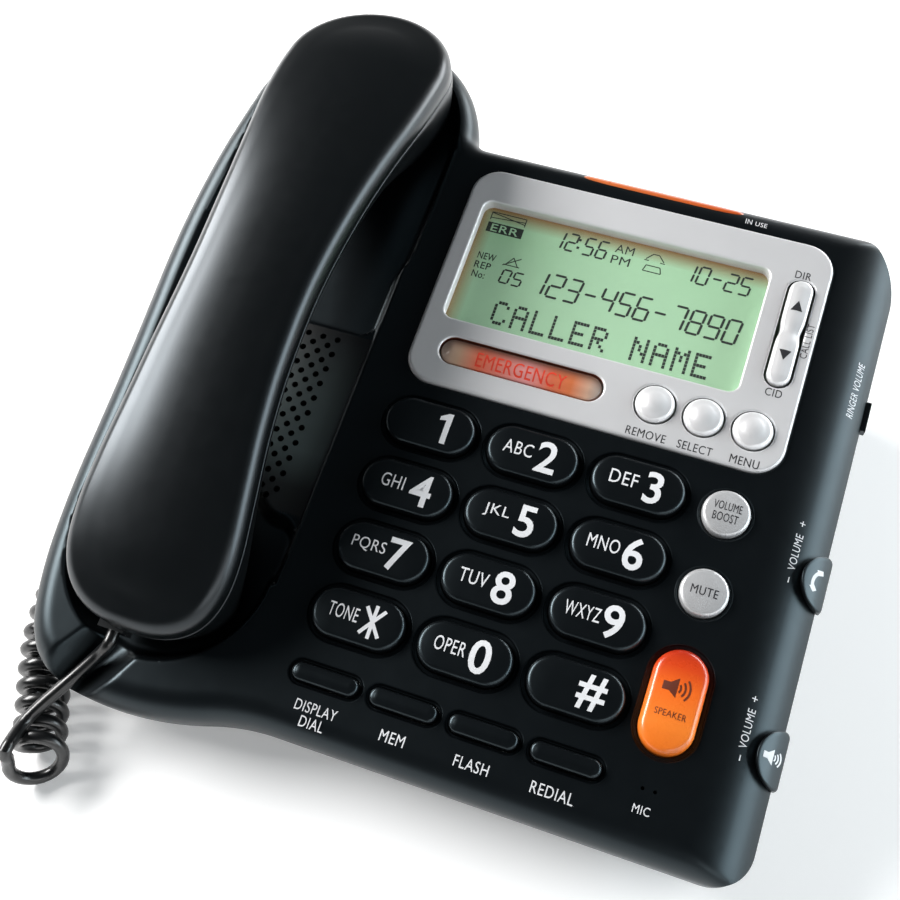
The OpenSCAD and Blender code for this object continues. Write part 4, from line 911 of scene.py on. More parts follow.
def key_profile(size, dome):
    """Steps of inset and height from a key's foot to its crown."""
    rise, edge, crown = dome
    steps = [(0.0, KEY_FOOT), (0.0, rise - edge)]
    for k in range(1, 6):
        a = math.radians(18 * k)
        steps.append((edge * (1 - math.cos(a)), rise - edge + edge * math.sin(a)))
    half = size[1] / 2
    for share in (0.25, 0.5, 0.75, 0.97):
        inset = edge + (half - edge) * share
        steps.append((inset, rise + crown * (1 - (1 - share) ** 2)))
    return steps


def crown_height(at, size, dome, upright):
    """A function giving the height of a key's top at a panel point."""
    rise, edge, crown = dome
    half_l = (size[0] - size[1]) / 2
    half_w = size[1] / 2

    def height(u, v):
        x, y = np.abs(u - at[0]), v - at[1]
        if upright:
            x, y = np.abs(v - at[1]), u - at[0]
        inset = half_w - np.hypot(np.maximum(x - half_l, 0), y)
        share = np.clip((inset - edge) / (half_w - edge), 0, 1)
        return rise + crown * (1 - (1 - share) ** 2)

    return height


def press_key(shape, at, size, dome, upright=False):
    """A pill-shaped key; gives the height of its top for the legend."""
    steps = key_profile(size, dome)
    made = shape.stack([pill_ring(at, size, inset, h, upright=upright) for inset, h in steps])
    shape.face(made[-1])
    shape.face(made[0][::-1])
    return crown_height(at, size, dome, upright)


def make_cap(name, shape, materials):
    """A key's cap, in place of its CAD node and on its body."""
    make(name + "_cap", shape, materials, name + "_body", covers=(name,))


def cut_fine(mesh, step):
    """Cuts a flat mesh along a grid, so that it can follow a domed face."""
    work = bmesh.new()
    work.from_mesh(mesh)
    spots = np.array([v.co[:2] for v in work.verts])
    for axis in (0, 1):
        normal = Vector((1 - axis, axis, 0))
        for at in np.arange(spots[:, axis].min() + step, spots[:, axis].max(), step):
            everything = [*work.verts, *work.edges, *work.faces]
            bmesh.ops.bisect_plane(work, geom=everything, plane_co=normal * at, plane_no=normal)
    work.to_mesh(mesh)
    work.free()


def flat_parts(mesh):
    points = np.array([v.co[:2] for v in mesh.vertices])
    faces = [tuple(p.vertices) for p in mesh.polygons]
    bpy.data.meshes.remove(mesh)
    return points, faces


def lay(shape, points, faces, at, turn, over, paint):
    """Lays flat faces on the panel about a point; over gives the height of the face under them."""
    a = math.radians(turn)
    u = at[0] + points[:, 0] * math.cos(a) - points[:, 1] * math.sin(a)
    v = at[1] + points[:, 0] * math.sin(a) + points[:, 1] * math.cos(a)
    h = (over(u, v) if callable(over) else np.full(len(u), over)) + PRINT_RISE
    made = shape.ring(np.column_stack([u, v, h]))
    for face in faces:
        shape.face([made[i] for i in face], paint)


def word_mesh(text, weight, fine):
    """Flat letters from the built-in font, as points and faces."""
    data = bpy.data.curves.new("word", "FONT")
    data.body = text
    data.offset = weight
    data.resolution_u = 4
    data.space_character = 1.08
    word = bpy.data.objects.new("word", data)
    bpy.context.scene.collection.objects.link(word)
    mesh = bpy.data.meshes.new_from_object(word.evaluated_get(bpy.context.evaluated_depsgraph_get()))
    bpy.data.objects.remove(word)
    if fine:
        cut_fine(mesh, FONT_STEP)
    return flat_parts(mesh)


def write(shape, text, at, tall, over, paint, squeeze=0.8, weight=0.0, turn=0.0, wide=None):
    """Prints a word with its middle at a panel point; over gives the height of the face under it."""
    points, faces = word_mesh(text, weight, callable(over))
    low, high = points.min(0), points.max(0)
    p = (points - (low + high) / 2) * tall / (high[1] - low[1])
    p[:, 0] *= squeeze if wide is None else wide / (p[:, 0].max() - p[:, 0].min())
    lay(shape, p, faces, at, turn, over, paint)


def draw(shape, points, at, over, paint, turn=0.0):
    """Prints a filled outline about a panel point."""
    mesh = bpy.data.meshes.new("drawing")
    mesh.from_pydata([(x, y, 0) for x, y in points], [], [tuple(range(len(points)))])
    if callable(over):
        cut_fine(mesh, DRAW_STEP)
    p, faces = flat_parts(mesh)
    lay(shape, p, faces, at, turn, over, paint)


def bar(wide, tall):
    """Corners of a flat bar about its middle."""
    x, y = wide / 2, tall / 2
    return [(-x, -y), (x, -y), (x, y), (-x, y)]


def make_dial_keys():
    for i, (name, small, wide, big) in enumerate(DIAL_KEYS):
        at = dial_at(i)
        spot = (at[0] + 4.3, at[1])
        shape = Shape()
        over = press_key(shape, at, KEY_SIZE, DIAL_DOME)
        if big == "*":
            for turn in (90, 54, 126):
                draw(shape, bar(9.2, 1.0), spot, over, 1, turn)
        elif big == "1":
            draw(shape, FIGURE_ONE, spot, over, 1)
        else:
            write(shape, big, spot, 9.2, over, 1, 0.97, 0.016)
        if small:
            write(shape, small, (at[0] - 4.0, at[1] + 0.4), 3.9, over, 1, wide=wide)
        make_cap(name, shape, [KEY_BLACK, WHITE_INK])


def make_function_keys():
    for i, name in enumerate(FN_KEYS):
        shape = Shape()
        press_key(shape, fn_at(i), FN_SIZE, FN_DOME)
        make_cap(name, shape, [KEY_BLACK])


def make_side_keys():
    for name, v, words in SIDE_KEYS:
        shape = Shape()
        over = press_key(shape, (SIDE_U, v), (SIDE_D + 0.01, SIDE_D), SIDE_DOME)
        for row, (word, wide) in enumerate(words):
            write(shape, word, (SIDE_U, v + (len(words) - 1) * 1.6 - row * 3.2), 2.4, over, 1, wide=wide)
        make_cap(name, shape, [SIDE_KEY, GREY_INK])


def make_speaker_key():
    shape = Shape()
    at = (SIDE_U, SPEAKER_V)
    over = press_key(shape, at, SPEAKER_SIZE, SPEAKER_DOME, upright=True)
    icon = (at[0] - 0.6, at[1] + 3.2)
    loudspeaker_sign(shape, icon, over, KEY_SIGN)
    write(shape, "SPEAKER", (at[0], at[1] - 3.6), 1.7, over, 1, 0.82)
    make_cap("speaker_key", shape, [ORANGE, BROWN_INK_AND_SHADE])


def band(r, inner_r, turns, off=0.0):
    """Points round a piece of a ring, set off to the right."""
    outer = [(r * math.cos(a) + off, r * math.sin(a)) for a in turns]
    inner = [(inner_r * math.cos(a) + off, inner_r * math.sin(a)) for a in turns[::-1]]
    return [*outer, *inner]


def loudspeaker_sign(shape, at, over, sign):
    """A horn with three waves."""
    (back, throat, mouth), (low, high), waves, thick, spread = sign
    horn = [(back, -low), (throat, -low), (mouth, -high), (mouth, high), (throat, low), (back, low)]
    draw(shape, horn, at, over, 1)
    turns = np.radians(np.linspace(-spread, spread, 9))
    for r in waves:
        draw(shape, band(r, r - thick * 1.6, turns), at, over, 1)


make_dial_keys()
make_function_keys()
make_side_keys()
make_speaker_key()

# Display bezel with its keys
WINDOW_AT = (5.0, 83.65)
WINDOW_SIZE = (87.0, 40.8)
MENU_KEYS = [("remove_key", 27.9, "REMOVE"), ("select_key", 41.65, "SELECT"), ("menu_key", 55.4, "MENU")]
MENU_V = 53.6
MENU_WORD_V = 44.1
MENU_SIZE = (11.01, 11.0)
EMERGENCY_AT = (-11.3, 53.4)
EMERGENCY_SIZE = (48.0, 8.0)
ROCKER_AT = (58.0, 85.5)
ROCKER_SIZE = (34.0, 7.0)
ROCKER_WORDS = [("DIR", (57.4, 104.3)), ("CID", (58.0, 66.2))]
ROCKER_WAIST = 0.14
ROCKER_DIP = 0.8
ROCKER_WAIST_L = 2.3
DISPLAY_H = -2.8


def make_bezel():
    shape = Shape()
    flat = BEZEL_RISE
    skirt = [
        (0.0, -BEZEL_SEAT), (0.0, flat - 0.9), (0.12, flat - 0.5), (0.4, flat - 0.15),
        (0.85, flat), (1.3, flat),
    ]
    outer = shape.stack([rounded_ring(BEZEL_AT, BEZEL_SIZE, BEZEL_R, inset, h) for inset, h in skirt])[-1]
    window = [(-0.8, flat), (-0.5, flat), (-0.15, flat - 0.15), (0.0, flat - 0.45), (0.0, DISPLAY_H)]
    holes = [shape.stack([rounded_ring(WINDOW_AT, WINDOW_SIZE, 3.0, inset, h) for inset, h in window])[0]]
    # The cuts' walls are painted shade: hole shade round the menu keys and the rocker, brown shade round the
    # emergency key.
    cuts = [((u, MENU_V), MENU_SIZE, False, 0.45, 3) for _, u, _ in MENU_KEYS]
    cuts += [(EMERGENCY_AT, EMERGENCY_SIZE, False, 0.35, 2), (ROCKER_AT, ROCKER_SIZE, True, 0.5, 3)]
    for at, size, upright, gap, paint in cuts:
        lip = [(-gap - 0.8, flat), (-gap - 0.5, flat), (-gap - 0.17, flat - 0.18), (-gap, flat - 0.5)]
        made = shape.stack([pill_ring(at, size, inset, h, 48, upright) for inset, h in lip])
        shape.bridge(made[-1], shape.ring(pill_ring(at, size, -gap, -BEZEL_SEAT, 48, upright)), paint)
        holes.append(made[0])
    shape.fill(outer, holes)
    for _, u, word in MENU_KEYS:
        write(shape, word, (u, MENU_WORD_V), 2.5, flat, 1)
    for word, at in ROCKER_WORDS:
        write(shape, word, at, 2.4, flat, 1)
    write(shape, "CALL LIST", (63.1, 84.2), 2.0, flat, 1, 0.82, turn=90)
    make("display_frame", shape, [SILVER, GREY_INK, BROWN_INK_AND_SHADE, PAINTED_HOLE_SHADE], covers=("display_bezel",),
         sharp=50)


def make_menu_keys():
    for name, u, _ in MENU_KEYS:
        shape = Shape()
        press_key(shape, (u, MENU_V), MENU_SIZE, MENU_DOME)
        make_cap(name, shape, [SILVER_KEY])


def make_emergency_key():
    shape = Shape()
    over = press_key(shape, EMERGENCY_AT, EMERGENCY_SIZE, EMERGENCY_DOME)
    write(shape, "EMERGENCY", (EMERGENCY_AT[0] + 0.4, EMERGENCY_AT[1] - 0.9), 4.2, over, 1, wide=26.5)
    make_cap("emergency_key", shape, [PALE_ORANGE, RED_INK])


def rocker_ring(inset, h):
    """Points round the rocker: an upright pill with a waist, lower in the middle."""
    half = (ROCKER_SIZE[0] - ROCKER_SIZE[1]) / 2
    r = ROCKER_SIZE[1] / 2 - 0.15
    side = np.linspace(-half, half, 33)
    bow = np.radians(np.linspace(0, 180, 19))[1:-1]
    x = np.concatenate([np.full(33, r - inset), (r - inset) * np.cos(bow),
                        np.full(33, inset - r), -(r - inset) * np.cos(bow)])
    y = np.concatenate([side, half + (r - inset) * np.sin(bow), -side, -half - (r - inset) * np.sin(bow)])
    near = np.exp(-(y / ROCKER_WAIST_L) ** 2)
    sunk = ROCKER_DIP * near if h > 0 else 0 * near
    return np.column_stack([ROCKER_AT[0] + x * (1 - ROCKER_WAIST * near), ROCKER_AT[1] + y, h - sunk])


def make_rocker():
    shape = Shape()
    size = (ROCKER_SIZE[0] - 0.3, ROCKER_SIZE[1] - 0.3)
    made = shape.stack([rocker_ring(inset, h) for inset, h in key_profile(size, ROCKER_DOME)])
    shape.fill(made[-1])
    shape.face(made[0][::-1])
    over = crown_height(ROCKER_AT, size, ROCKER_DOME, True)
    for side in (-1, 1):
        arrow = [(-1.7, -1.5), (1.7, -1.5), (0, 1.7)]
        draw(shape, arrow, (ROCKER_AT[0], ROCKER_AT[1] + side * 7.9), over, 1, 0 if side > 0 else 180)
    make("call_list_rocker_cap", shape, [SILVER_KEY, GREY_INK], "rocker_body", covers=("call_list_rocker",))


make_bezel()
make_menu_keys()
make_emergency_key()
make_rocker()

# Words and figures on the display
FIGURE_SLANT = 0.12
SEGMENTS = {
    "0": "abcdef", "1": "bc", "2": "abged", "3": "abgcd", "4": "fgbc", "5": "afgcd",
    "6": "afgedc", "7": "abc", "8": "abcdefg", "9": "abcdfg", "-": "g",
}
SEGMENT_ENDS = {
    "a": ((0, 2), (1, 2)), "b": ((1, 2), (1, 1)), "c": ((1, 1), (1, 0)), "d": ((0, 0), (1, 0)),
    "e": ((0, 1), (0, 0)), "f": ((0, 2), (0, 1)), "g": ((0, 1), (1, 1)),
}
DOT_LETTERS = {
    "C": (".###.", "#...#", "#....", "#....", "#....", "#...#", ".###."),
    "A": (".###.", "#...#", "#...#", "#####", "#...#", "#...#", "#...#"),
    "L": ("#....", "#....", "#....", "#....", "#....", "#....", "#####"),
    "E": ("#####", "#....", "#....", "####.", "#....", "#....", "#####"),
    "R": ("####.", "#...#", "#...#", "####.", "#.#..", "#..#.", "#...#"),
    "N": ("#...#", "##..#", "#.#.#", "#.#.#", "#..##", "#...#", "#...#"),
    "M": ("#...#", "##.##", "#.#.#", "#.#.#", "#...#", "#...#", "#...#"),
}
# Figures on the display: text, place, height, width, pitch and thickness
DISPLAY_FIGURES = [
    ("12", (-15.6, 95.9), 5.8, 2.7, 4.0, 0.62), ("56", (-6.2, 95.9), 5.8, 2.7, 4.0, 0.62),
    ("10-25", (24.2, 95.6), 5.8, 2.9, 4.15, 0.62), ("05", (-27.0, 80.1), 4.4, 2.6, 3.7, 0.55),
    ("123-456-7890", (-17.6, 79.4), 7.6, 3.7, 5.25, 0.74),
]
# Words on the display: text, place, height, width and weight
DISPLAY_WORDS = [
    ("AM", (5.9, 100.7), 2.8, 5.6, 0.0), ("PM", (5.6, 96.8), 2.8, 5.6, 0.0),
    ("NEW", (-32.9, 87.3), 2.3, 5.6, 0.01), ("REP", (-33.2, 84.1), 2.3, 5.0, 0.01),
    ("No:", (-33.5, 80.9), 2.3, 4.0, 0.01),
]
COLON = [(-7.8, 97.2), (-7.8, 99.9)]
ERROR_AT = (-30.6, 97.4)
# Strokes of the display's envelope, bell and telephone signs
DISPLAY_LINES = [
    ((-36, 99.9), (-36, 102.6)), ((-25.2, 99.9), (-25.2, 102.6)), ((-36, 102.6), (-25.2, 102.6)),
    ((-36, 102.4), (-25.2, 100.6)), ((-36, 100.6), (-25.2, 101.4)),
    ((-27.4, 86.2), (-22.4, 86.2)), ((-26.8, 86.2), (-24.9, 89.0)), ((-24.9, 89.0), (-23.0, 86.2)),
    ((-27.6, 85.8), (-22.6, 89.2)),
    ((12.6, 99.6), (14.4, 101.6)), ((14.4, 101.6), (16.2, 101.6)), ((16.2, 101.6), (18.0, 99.6)),
    ((12.2, 99.2), (13.6, 99.2)), ((17.0, 99.2), (18.4, 99.2)), ((13.2, 97.6), (17.4, 97.6)),
    ((12.6, 95.6), (18.0, 95.6)), ((12.6, 95.6), (13.2, 97.6)), ((18.0, 95.6), (17.4, 97.6)),
]


def figures(shape, text, at, tall, wide, pitch, thick, h):
    """Seven-segment figures with their lower left corner at a panel point."""
    for place, sign in enumerate(text):
        left = at[0] + place * pitch
        for segment in SEGMENTS[sign]:
            (x0, y0), (x1, y1) = SEGMENT_ENDS[segment]
            a = np.array([x0 * wide, y0 * tall / 2])
            b = np.array([x1 * wide, y1 * tall / 2])
            run = (b - a) / np.linalg.norm(b - a)
            a, b = a + run * thick * 0.55, b - run * thick * 0.55
            off = np.array([-run[1], run[0]]) * thick / 2
            corners = [a - run * thick * 0.4, a + off, b + off, b + run * thick * 0.4, b - off, a - off]
            flat = [(left + c[0] + FIGURE_SLANT * c[1], at[1] + c[1], h) for c in corners]
            shape.face(shape.ring(flat), 1)


def dots(shape, text, at, tall, pitch, h):
    """Dot letters with their lower left corner at a panel point."""
    cell = tall / 7
    for place, sign in enumerate(text):
        if sign == " ":
            continue
        for row, line in enumerate(DOT_LETTERS[sign]):
            for column, dot in enumerate(line):
                if dot == "#":
                    u = at[0] + place * pitch + column * cell * 0.82
                    v = at[1] + (6 - row) * cell
                    w, t = cell * 0.74, cell * 0.90
                    shape.face(shape.ring([(u, v, h), (u + w, v, h), (u + w, v + t, h), (u, v + t, h)]), 1)


def stroke(shape, a, b, thick, h):
    """A straight line on the display."""
    run = np.array(b, float) - np.array(a, float)
    off = np.array([-run[1], run[0]]) / np.linalg.norm(run) * thick / 2
    shape.face(shape.ring([(p[0], p[1], h) for p in (a - off, b - off, b + off, a + off)]), 1)


def make_display():
    shape = Shape()
    size = (WINDOW_SIZE[0] + 6, WINDOW_SIZE[1] + 6)
    steps = [(0.0, DISPLAY_H - 2.0), (0.0, DISPLAY_H - 0.2), (0.2, DISPLAY_H)]
    made = shape.stack([rounded_ring(WINDOW_AT, size, 3.0, inset, h) for inset, h in steps])
    shape.face(made[0][::-1])
    shape.fill(made[-1])
    h = DISPLAY_H + 0.05
    for figure in DISPLAY_FIGURES:
        figures(shape, *figure, h)
    for u, v in COLON:
        stroke(shape, (u, v), (u + 0.1, v + 0.8), 0.8, h)
    dots(shape, "CALLER NAME", (-25.4, 66.4), 7.8, 6.0, h)
    for word, at, tall, wide, weight in DISPLAY_WORDS:
        write(shape, word, at, tall, DISPLAY_H, 1, wide=wide, weight=weight)
    draw(shape, bar(11.2, 3.4), ERROR_AT, DISPLAY_H, 1)
    write(shape, "ERR", ERROR_AT, 2.5, DISPLAY_H + 0.02, 2, wide=8.6, weight=0.01)
    for a, b in DISPLAY_LINES:
        stroke(shape, a, b, 0.3, h)
    make("display_panel", shape, [DISPLAY_GREEN, DISPLAY_INK, DISPLAY_GREEN], covers=("lcd_panel",))


make_display()

# Printed words on the panel: text, place, height and squeeze
PANEL_WORDS = [
    ("DISPLAY", (-32.4, -54.8), 2.9, 0.72), ("DIAL", (-32.2, -58.6), 2.9, 0.72),
    ("MEM", (-10.9, -55.4), 3.0, 0.76), ("FLASH", (10.6, -55.4), 3.0, 0.76),
    ("REDIAL", (32.0, -55.4), 3.0, 0.76), ("MIC", (54.0, -52.3), 2.2, 0.82),
    ("IN USE", (40.5, 118.2), 1.7, 0.85),
]
# Words beside the volume knobs: place of the word, of its plus and of its minus along the edge
VOLUME_WORDS = [((74.5, 24.2), 32.4, 16.3), ((73.8, -24.6), -16.8, -32.2)]


def make_panel_print():
    shape = Shape()

    def over(u, v):
        return panel_skin(u, v) + 0.01

    for word, at, tall, squeeze in PANEL_WORDS:
        write(shape, word, at, tall, over, 0, squeeze)
    write(shape, "RINGER VOLUME", (79.6, 76.1), 2.0, over, 0, turn=90, wide=17.0)
    for word_at, plus, minus in VOLUME_WORDS:
        write(shape, "VOLUME", word_at, 2.1, over, 0, turn=90, wide=10.2)
        write(shape, "+", (word_at[0], plus), 1.5, over, 0, 1.0, turn=90)
        draw(shape, bar(1.5, 0.32), (word_at[0], minus), over, 0, 90)
    make("panel_print", shape, [WHITE_INK])


make_panel_print()

# Volume knobs on the right roll
KNOB_R = 7.8
KNOB_FLAT_U = 85.2
KNOB_LIFT = (0.35, 2.2)
KNOB_EDGE = 0.6
KNOB_CORNER_R = 1.3


def roll_height(u, lift):
    """Height of a face parallel to the right roll."""
    return np.sqrt(np.maximum((SIDE_ROLL_R + lift) ** 2 - (u - ROLL_U) ** 2, 0)) - SIDE_ROLL_R


def knob_outline(v):
    """Points round a half-moon with its two corners rounded."""
    flat = KNOB_FLAT_U
    off = math.sqrt((KNOB_R - KNOB_CORNER_R) ** 2 - KNOB_CORNER_R ** 2)
    turn = math.degrees(math.atan2(off, -KNOB_CORNER_R))
    points = [(flat + KNOB_R * math.cos(a), v + KNOB_R * math.sin(a))
              for a in np.radians(np.linspace(turn, 360 - turn, 41))]
    for side, first, last in ((-1, 360 - turn, 360), (1, 0, turn)):
        for a in np.radians(np.linspace(first, last, 7)[1 if side < 0 else 0:7 if side < 0 else 6]):
            points.append((flat - KNOB_CORNER_R + KNOB_CORNER_R * math.cos(a),
                           v + side * off + KNOB_CORNER_R * math.sin(a)))
    return np.array(points)


def make_knob(name, v, icon):
    shape = Shape()
    low, high = KNOB_LIFT
    plan = knob_outline(v)
    centre = np.array([KNOB_FLAT_U - 3.3, v])
    steps = [(0.0, low), (0.0, high - KNOB_EDGE)]
    for k in range(1, 5):
        a = math.radians(22.5 * k)
        steps.append((KNOB_EDGE * (1 - math.cos(a)), high - KNOB_EDGE * (1 - math.sin(a))))
    steps += [(KNOB_R * share, high) for share in (0.2, 0.4, 0.6, 0.8, 0.99)]
    rings = []
    for inset, lift in steps:
        p = centre + (plan - centre) * (1 - inset / KNOB_R)
        rings.append(np.column_stack([p, roll_height(p[:, 0], lift)]))
    made = shape.stack(rings)
    shape.face(made[-1])
    shape.face(made[0][::-1])
    icon(shape, (KNOB_FLAT_U - 3.9, v), lambda u, w: roll_height(u, high))
    make(name + "_knob", shape, [KEY_BLACK, WHITE_INK], name + "_body", covers=(name + "_slider",),
         sharp=50)


def handset_icon(shape, at, over):
    """A small receiver sign, leaning."""
    lean = -14
    turns = np.radians(np.linspace(146, 214, 13))
    draw(shape, band(4.6, 3.7, turns, 3.6), at, over, 1, lean)
    for side in (-1, 1):
        blob = [(-0.8, -0.75), (0.9, -0.6), (1.0, 0.6), (-0.8, 0.75)]
        a = math.radians(lean)
        off = (0.35, side * 2.35)
        spot = (at[0] + off[0] * math.cos(a) - off[1] * math.sin(a),
                at[1] + off[0] * math.sin(a) + off[1] * math.cos(a))
        draw(shape, blob, spot, over, 1, lean + side * 34)


def speaker_icon(shape, at, over):
    """A small loudspeaker sign."""
    loudspeaker_sign(shape, at, over, KNOB_SIGN)


make_knob("handset_volume", 19.0, handset_icon)
make_knob("speaker_volume", -29.2, speaker_icon)

# Light strip on the rear edge
STRIP_U = (-13.6, 36.9)
STRIP_V = (119.5, 123.1)


def make_in_use_strip():
    shape = Shape()
    rows = []
    for t in np.linspace(-1, 1, 41):
        u = (STRIP_U[0] + STRIP_U[1]) / 2 + t * (STRIP_U[1] - STRIP_U[0]) / 2
        half = (STRIP_V[1] - STRIP_V[0]) / 2 * max(0.15, 1 - abs(t) ** 6) ** 0.5
        row = []
        for k in np.linspace(-1, 1, 11):
            v = (STRIP_V[0] + STRIP_V[1]) / 2 + k * half
            under = -edge_drop(np.array(PANEL_REAR - v))
            row.append((u, v, under - 0.3 + 0.75 * (1 - k ** 4) * min(1.0, (1 - abs(t)) * 12)))
        rows.append(row)
    shape.stack(rows, closed=False)
    make("in_use_strip", shape, [AMBER], covers=("in_use_lens",))


make_in_use_strip()

# Handset
HANDSET_REAR = 153.5
HANDSET_FRONT = -52.0
EAR_R = 25.5
MOUTH_END_V = -27.0
MOUTH_HALF_W = 23.9
HALF_WIDTHS = [
    (-27, 23.9), (-12, 22.7), (3, 21.0), (25, 19.4), (46, 18.9), (70, 20.1), (93, 22.4), (110, 24.6),
    (125.5, 25.5),
]
BACK_R = 276.0
BACK_TOP = 35.0
UNDER_R = 130.0
EDGE_R = 5.2
LOW_R = 3.2
TUCK = 7.0
GRIP_T = 24.0
CAP_H = -8.6
PARTING = 9.0
HANDSET_MID = 49.5
AXIS_OFF = 1.6
AXIS_SWING = 1.6
END_LEAN = (-4.0, 2.5)
SCREW_WELL_R = 3.0


def handset_outline():
    """Points round the handset's plan: offsets from its axis and places along it."""
    points = []
    reach = MOUTH_END_V - HANDSET_FRONT
    for a in np.radians(np.linspace(0, 90, 30)[:-1]):
        points.append((MOUTH_HALF_W * math.sin(a) ** 0.80, MOUTH_END_V - reach * math.cos(a) ** 0.80))
    stations = np.array(HALF_WIDTHS, float)
    for v in np.linspace(MOUTH_END_V, HANDSET_REAR - EAR_R, 60)[:-1]:
        points.append((curve_at(v, stations), v))
    for a in np.radians(np.linspace(0, 90, 34)):
        points.append((EAR_R * math.cos(a), HANDSET_REAR - EAR_R + EAR_R * math.sin(a)))
    half = np.array(points)
    left = half[1:-1][::-1] * [-1, 1]
    return np.vstack([half, left])


def handset_axis(v):
    """Where the handset's centre line lies across the panel."""
    return CRADLE_U + AXIS_OFF + AXIS_SWING * np.clip((v - 20) / 105, 0, 1.3)


def curve_at(x, stations):
    """Smooth curve through stations of place and value."""
    i = int(np.clip(np.searchsorted(stations[:, 0], x) - 1, 0, len(stations) - 2))
    slopes = np.gradient(stations[:, 1], stations[:, 0])
    slopes[0] = slopes[-1] = 0
    (x0, y0), (x1, y1) = stations[i], stations[i + 1]
    t = (x - x0) / (x1 - x0)
    run = x1 - x0
    return ((2 * t ** 3 - 3 * t ** 2 + 1) * y0 + (t ** 3 - 2 * t ** 2 + t) * run * slopes[i]
            + (3 * t ** 2 - 2 * t ** 3) * y1 + (t ** 3 - t ** 2) * run * slopes[i + 1])


def handset_levels(v):
    """Heights of the back's crest, its edge, the parting line and the underside."""
    crest = BACK_TOP - BACK_R + np.sqrt(BACK_R ** 2 - (v - HANDSET_MID) ** 2)
    edge = crest - 3.2 + 0.6 * np.clip((v - HANDSET_MID) / 101.5, -1, 1)
    line = BACK_TOP - BACK_R + np.sqrt((BACK_R - PARTING) ** 2 - (v - HANDSET_MID) ** 2)
    arch = BACK_TOP - GRIP_T - UNDER_R + np.sqrt(UNDER_R ** 2 - (v - HANDSET_MID) ** 2)
    return crest, edge, line, smooth_max(arch, np.full_like(arch, CAP_H), 5.0)


def spine_at(v):
    """Where the outline's points are drawn in to, along the axis."""
    return np.clip(v, HANDSET_FRONT + 22, HANDSET_REAR - EAR_R)


def handset_inset(plan, share):
    """Points drawn in from the outline towards the axis by a share of the half-width."""
    v = plan[:, 1]
    return np.column_stack([plan[:, 0] * (1 - share), v + (spine_at(v) - v) * share])


def handset_ring(p, h, shift=0.0):
    """Points of the handset's plan set on its axis, at the given heights."""
    return np.column_stack([p[:, 0] + handset_axis(p[:, 1]), p[:, 1] + shift, h])


def underside(u, v):
    """Height of the handset's underside, the same right across it."""
    return handset_levels(v)[3]


def end_lean(p, plan):
    """How far the two ends lean in at the underside."""
    reach = np.clip(np.abs(plan[:, 1] - HANDSET_MID) / 100, 0, 1)
    return np.where(p[:, 1] > HANDSET_MID, *END_LEAN) * reach ** 6


def drill_handset(shape, edge):
    """Fills the handset's underside about its ear holes, mouth holes and screw wells."""
    drills = [(handset_axis(133) + 6 * math.cos(a), 133 + 6 * math.sin(a), 1.2, 2.0)
              for a in np.radians(np.arange(0, 360, 60))]
    drills += [(handset_axis(-30) + 3 * i, -30.0, 0.6, 2.0) for i in (-1, 0, 1)]
    drills += [(handset_axis(v), v, SCREW_WELL_R, 13.0) for v in (16.0, 83.0)]
    loop = np.array([shape.points[i] for i in edge])[:, :2]
    loose = grid((-112, -58, 1.8), (-50, 152, 1.8))
    keep = inside(loose, loop)
    keep &= np.min(np.hypot(*(loose[:, None, :] - loop[None]).transpose(2, 0, 1)), axis=1) > 1.0
    holes = []
    for u, v, r, depth in drills:
        # Ear and mouth holes end in a floor of painted hole shade.
        floor = 1 if r < SCREW_WELL_R else None
        holes.append(drilled(shape, (u, v), r, underside, depth, 16, floor=floor))
        keep &= np.hypot(loose[:, 0] - u, loose[:, 1] - v) > r + 0.5
    loose = loose[keep]
    extra = shape.ring(np.column_stack([loose, underside(*loose.T)]))
    shape.fill(edge, holes, extra)


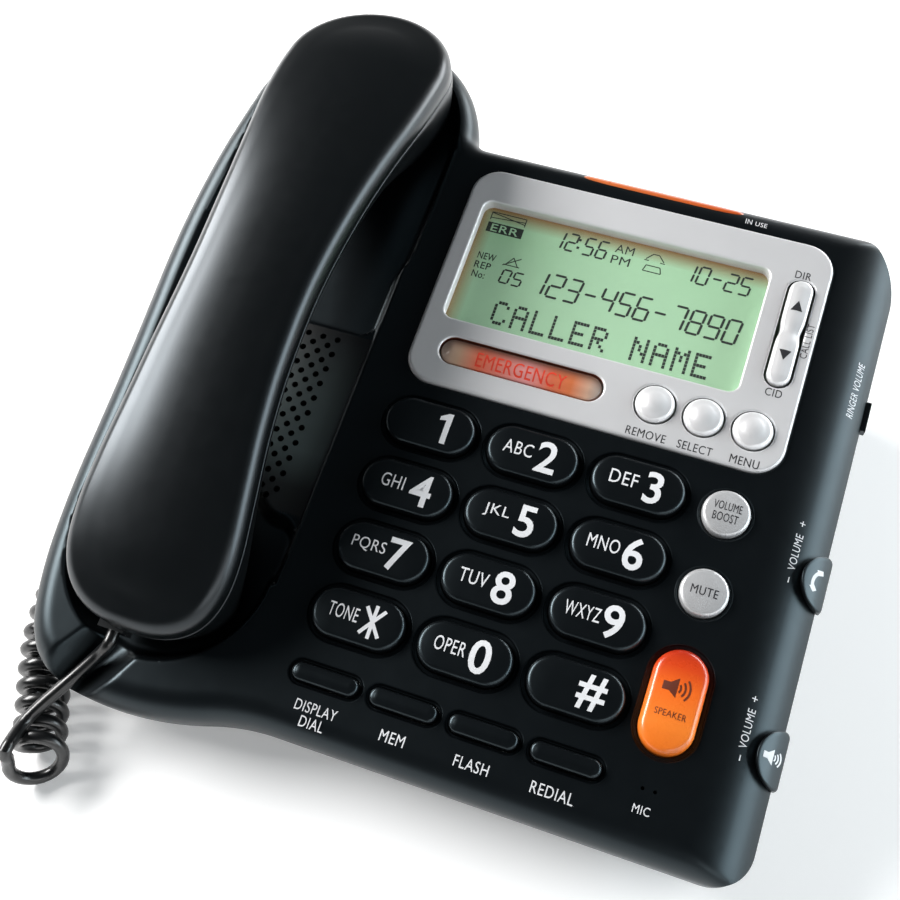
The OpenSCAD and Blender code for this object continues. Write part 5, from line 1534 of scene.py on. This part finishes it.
def make_handset():
    plan = handset_outline()
    half_w = np.maximum(np.hypot(plan[:, 0], plan[:, 1] - spine_at(plan[:, 1])), 1)

    def seam_ring(d, rise):
        p = handset_inset(plan, d / half_w)
        return handset_ring(p, handset_levels(p[:, 1])[2] + rise)

    def crown_at(share):
        p = handset_inset(plan, share)
        crest, edge, _, _ = handset_levels(p[:, 1])
        return p, edge + (crest - edge) * (1 - (1 - share) ** 2)

    back = Shape()
    tops = [handset_ring(*crown_at(share)) for share in (0.9, 0.8, 0.7, 0.6, 0.5, 0.4, 0.3)]
    _, roll_top = crown_at(EDGE_R / half_w)
    rolls = []
    for a in np.radians(np.arange(18, 91, 9)):
        p = handset_inset(plan, EDGE_R * (1 - math.sin(a)) / half_w)
        rolls.append(handset_ring(p, roll_top - EDGE_R * (1 - math.cos(a))))
    walls = [seam_ring(d, rise) for d, rise in ((0, 1.4), (0, 0.6), (0.12, 0.32), (0.45, 0.25), (2.0, 0.25))]
    back.fill(back.stack([*tops, *rolls, *walls])[0])
    make("handset_back", back, [HANDSET_BLACK], "handset", covers=("handset_back_shell",),
         sharp=60)

    front = Shape()
    seam = [seam_ring(d, rise) for d, rise in ((2.0, -0.05), (0.45, -0.05), (0.12, -0.12), (0, -0.4))]
    tuck = TUCK * np.clip(1.15 - (np.abs(plan[:, 1] - HANDSET_MID) / 90) ** 4, 0.2, 1)
    sides = []
    for share in (0.1, 0.25, 0.4, 0.55, 0.7, 0.85, 1.0):
        p = handset_inset(plan, tuck * share ** 1.5 / half_w)
        _, _, line, under = handset_levels(p[:, 1])
        h = line - 0.4 + (under + LOW_R - line + 0.4) * share
        sides.append(handset_ring(p, h, end_lean(p, p) * np.clip((8 - h) / 16.6, 0, 1)))
    floor = []
    for d, rise in ((0.6, 1.6), (1.3, 0.7), (2.1, 0.2), (LOW_R, 0.0)):
        p = handset_inset(plan, (tuck + d) / half_w)
        floor.append(handset_ring(p, underside(*p.T) + rise, end_lean(p, plan) * (1 - d / 40)))
    p = handset_inset(plan, (tuck + LOW_R) / half_w + 0.06)
    floor.append(handset_ring(p, underside(*p.T)))
    drill_handset(front, front.stack([*seam, *sides, *floor])[-1])
    make("handset_front", front, [HANDSET_BLACK, PAINTED_HOLE_SHADE], "handset", covers=("handset_front_shell",),
         sharp=60)


make_handset()

# Floor
FLOOR_R = 30.0
PAPER_R = (0.30, 0.70)


def make_floor():
    """Pale paper about the telephone that goes over into plain white further out."""
    material, tree, shader, where = node_material("floor_paper")
    paper = mixed(tree, noise(tree, where, 3.0), (0.93, 0.93, 0.93), (0.95, 0.95, 0.95))
    tree.links.new(paper, shader.inputs["Base Color"])
    shader.inputs["Roughness"].default_value = 0.9
    shader.inputs["Specular IOR Level"].default_value = 0.0
    length = tree.nodes.new("ShaderNodeVectorMath")
    length.operation = "LENGTH"
    tree.links.new(where, length.inputs[0])
    far = remap(tree, length.outputs["Value"], 0.22, 1.0, *PAPER_R)
    shader.inputs["Emission Color"].default_value = (1, 1, 1, 1)
    tree.links.new(combined(tree, "MULTIPLY", far, seen_directly(tree)), shader.inputs["Emission Strength"])
    shape = Shape()
    turns = 2 * np.pi * np.arange(48) / 48
    shape.face(shape.ring([(FLOOR_R / MM * math.cos(a), FLOOR_R / MM * math.sin(a), 0) for a in turns]))
    floor = make("floor", shape, [material], body=None, matrix=Matrix.Identity(4))


make_floor()
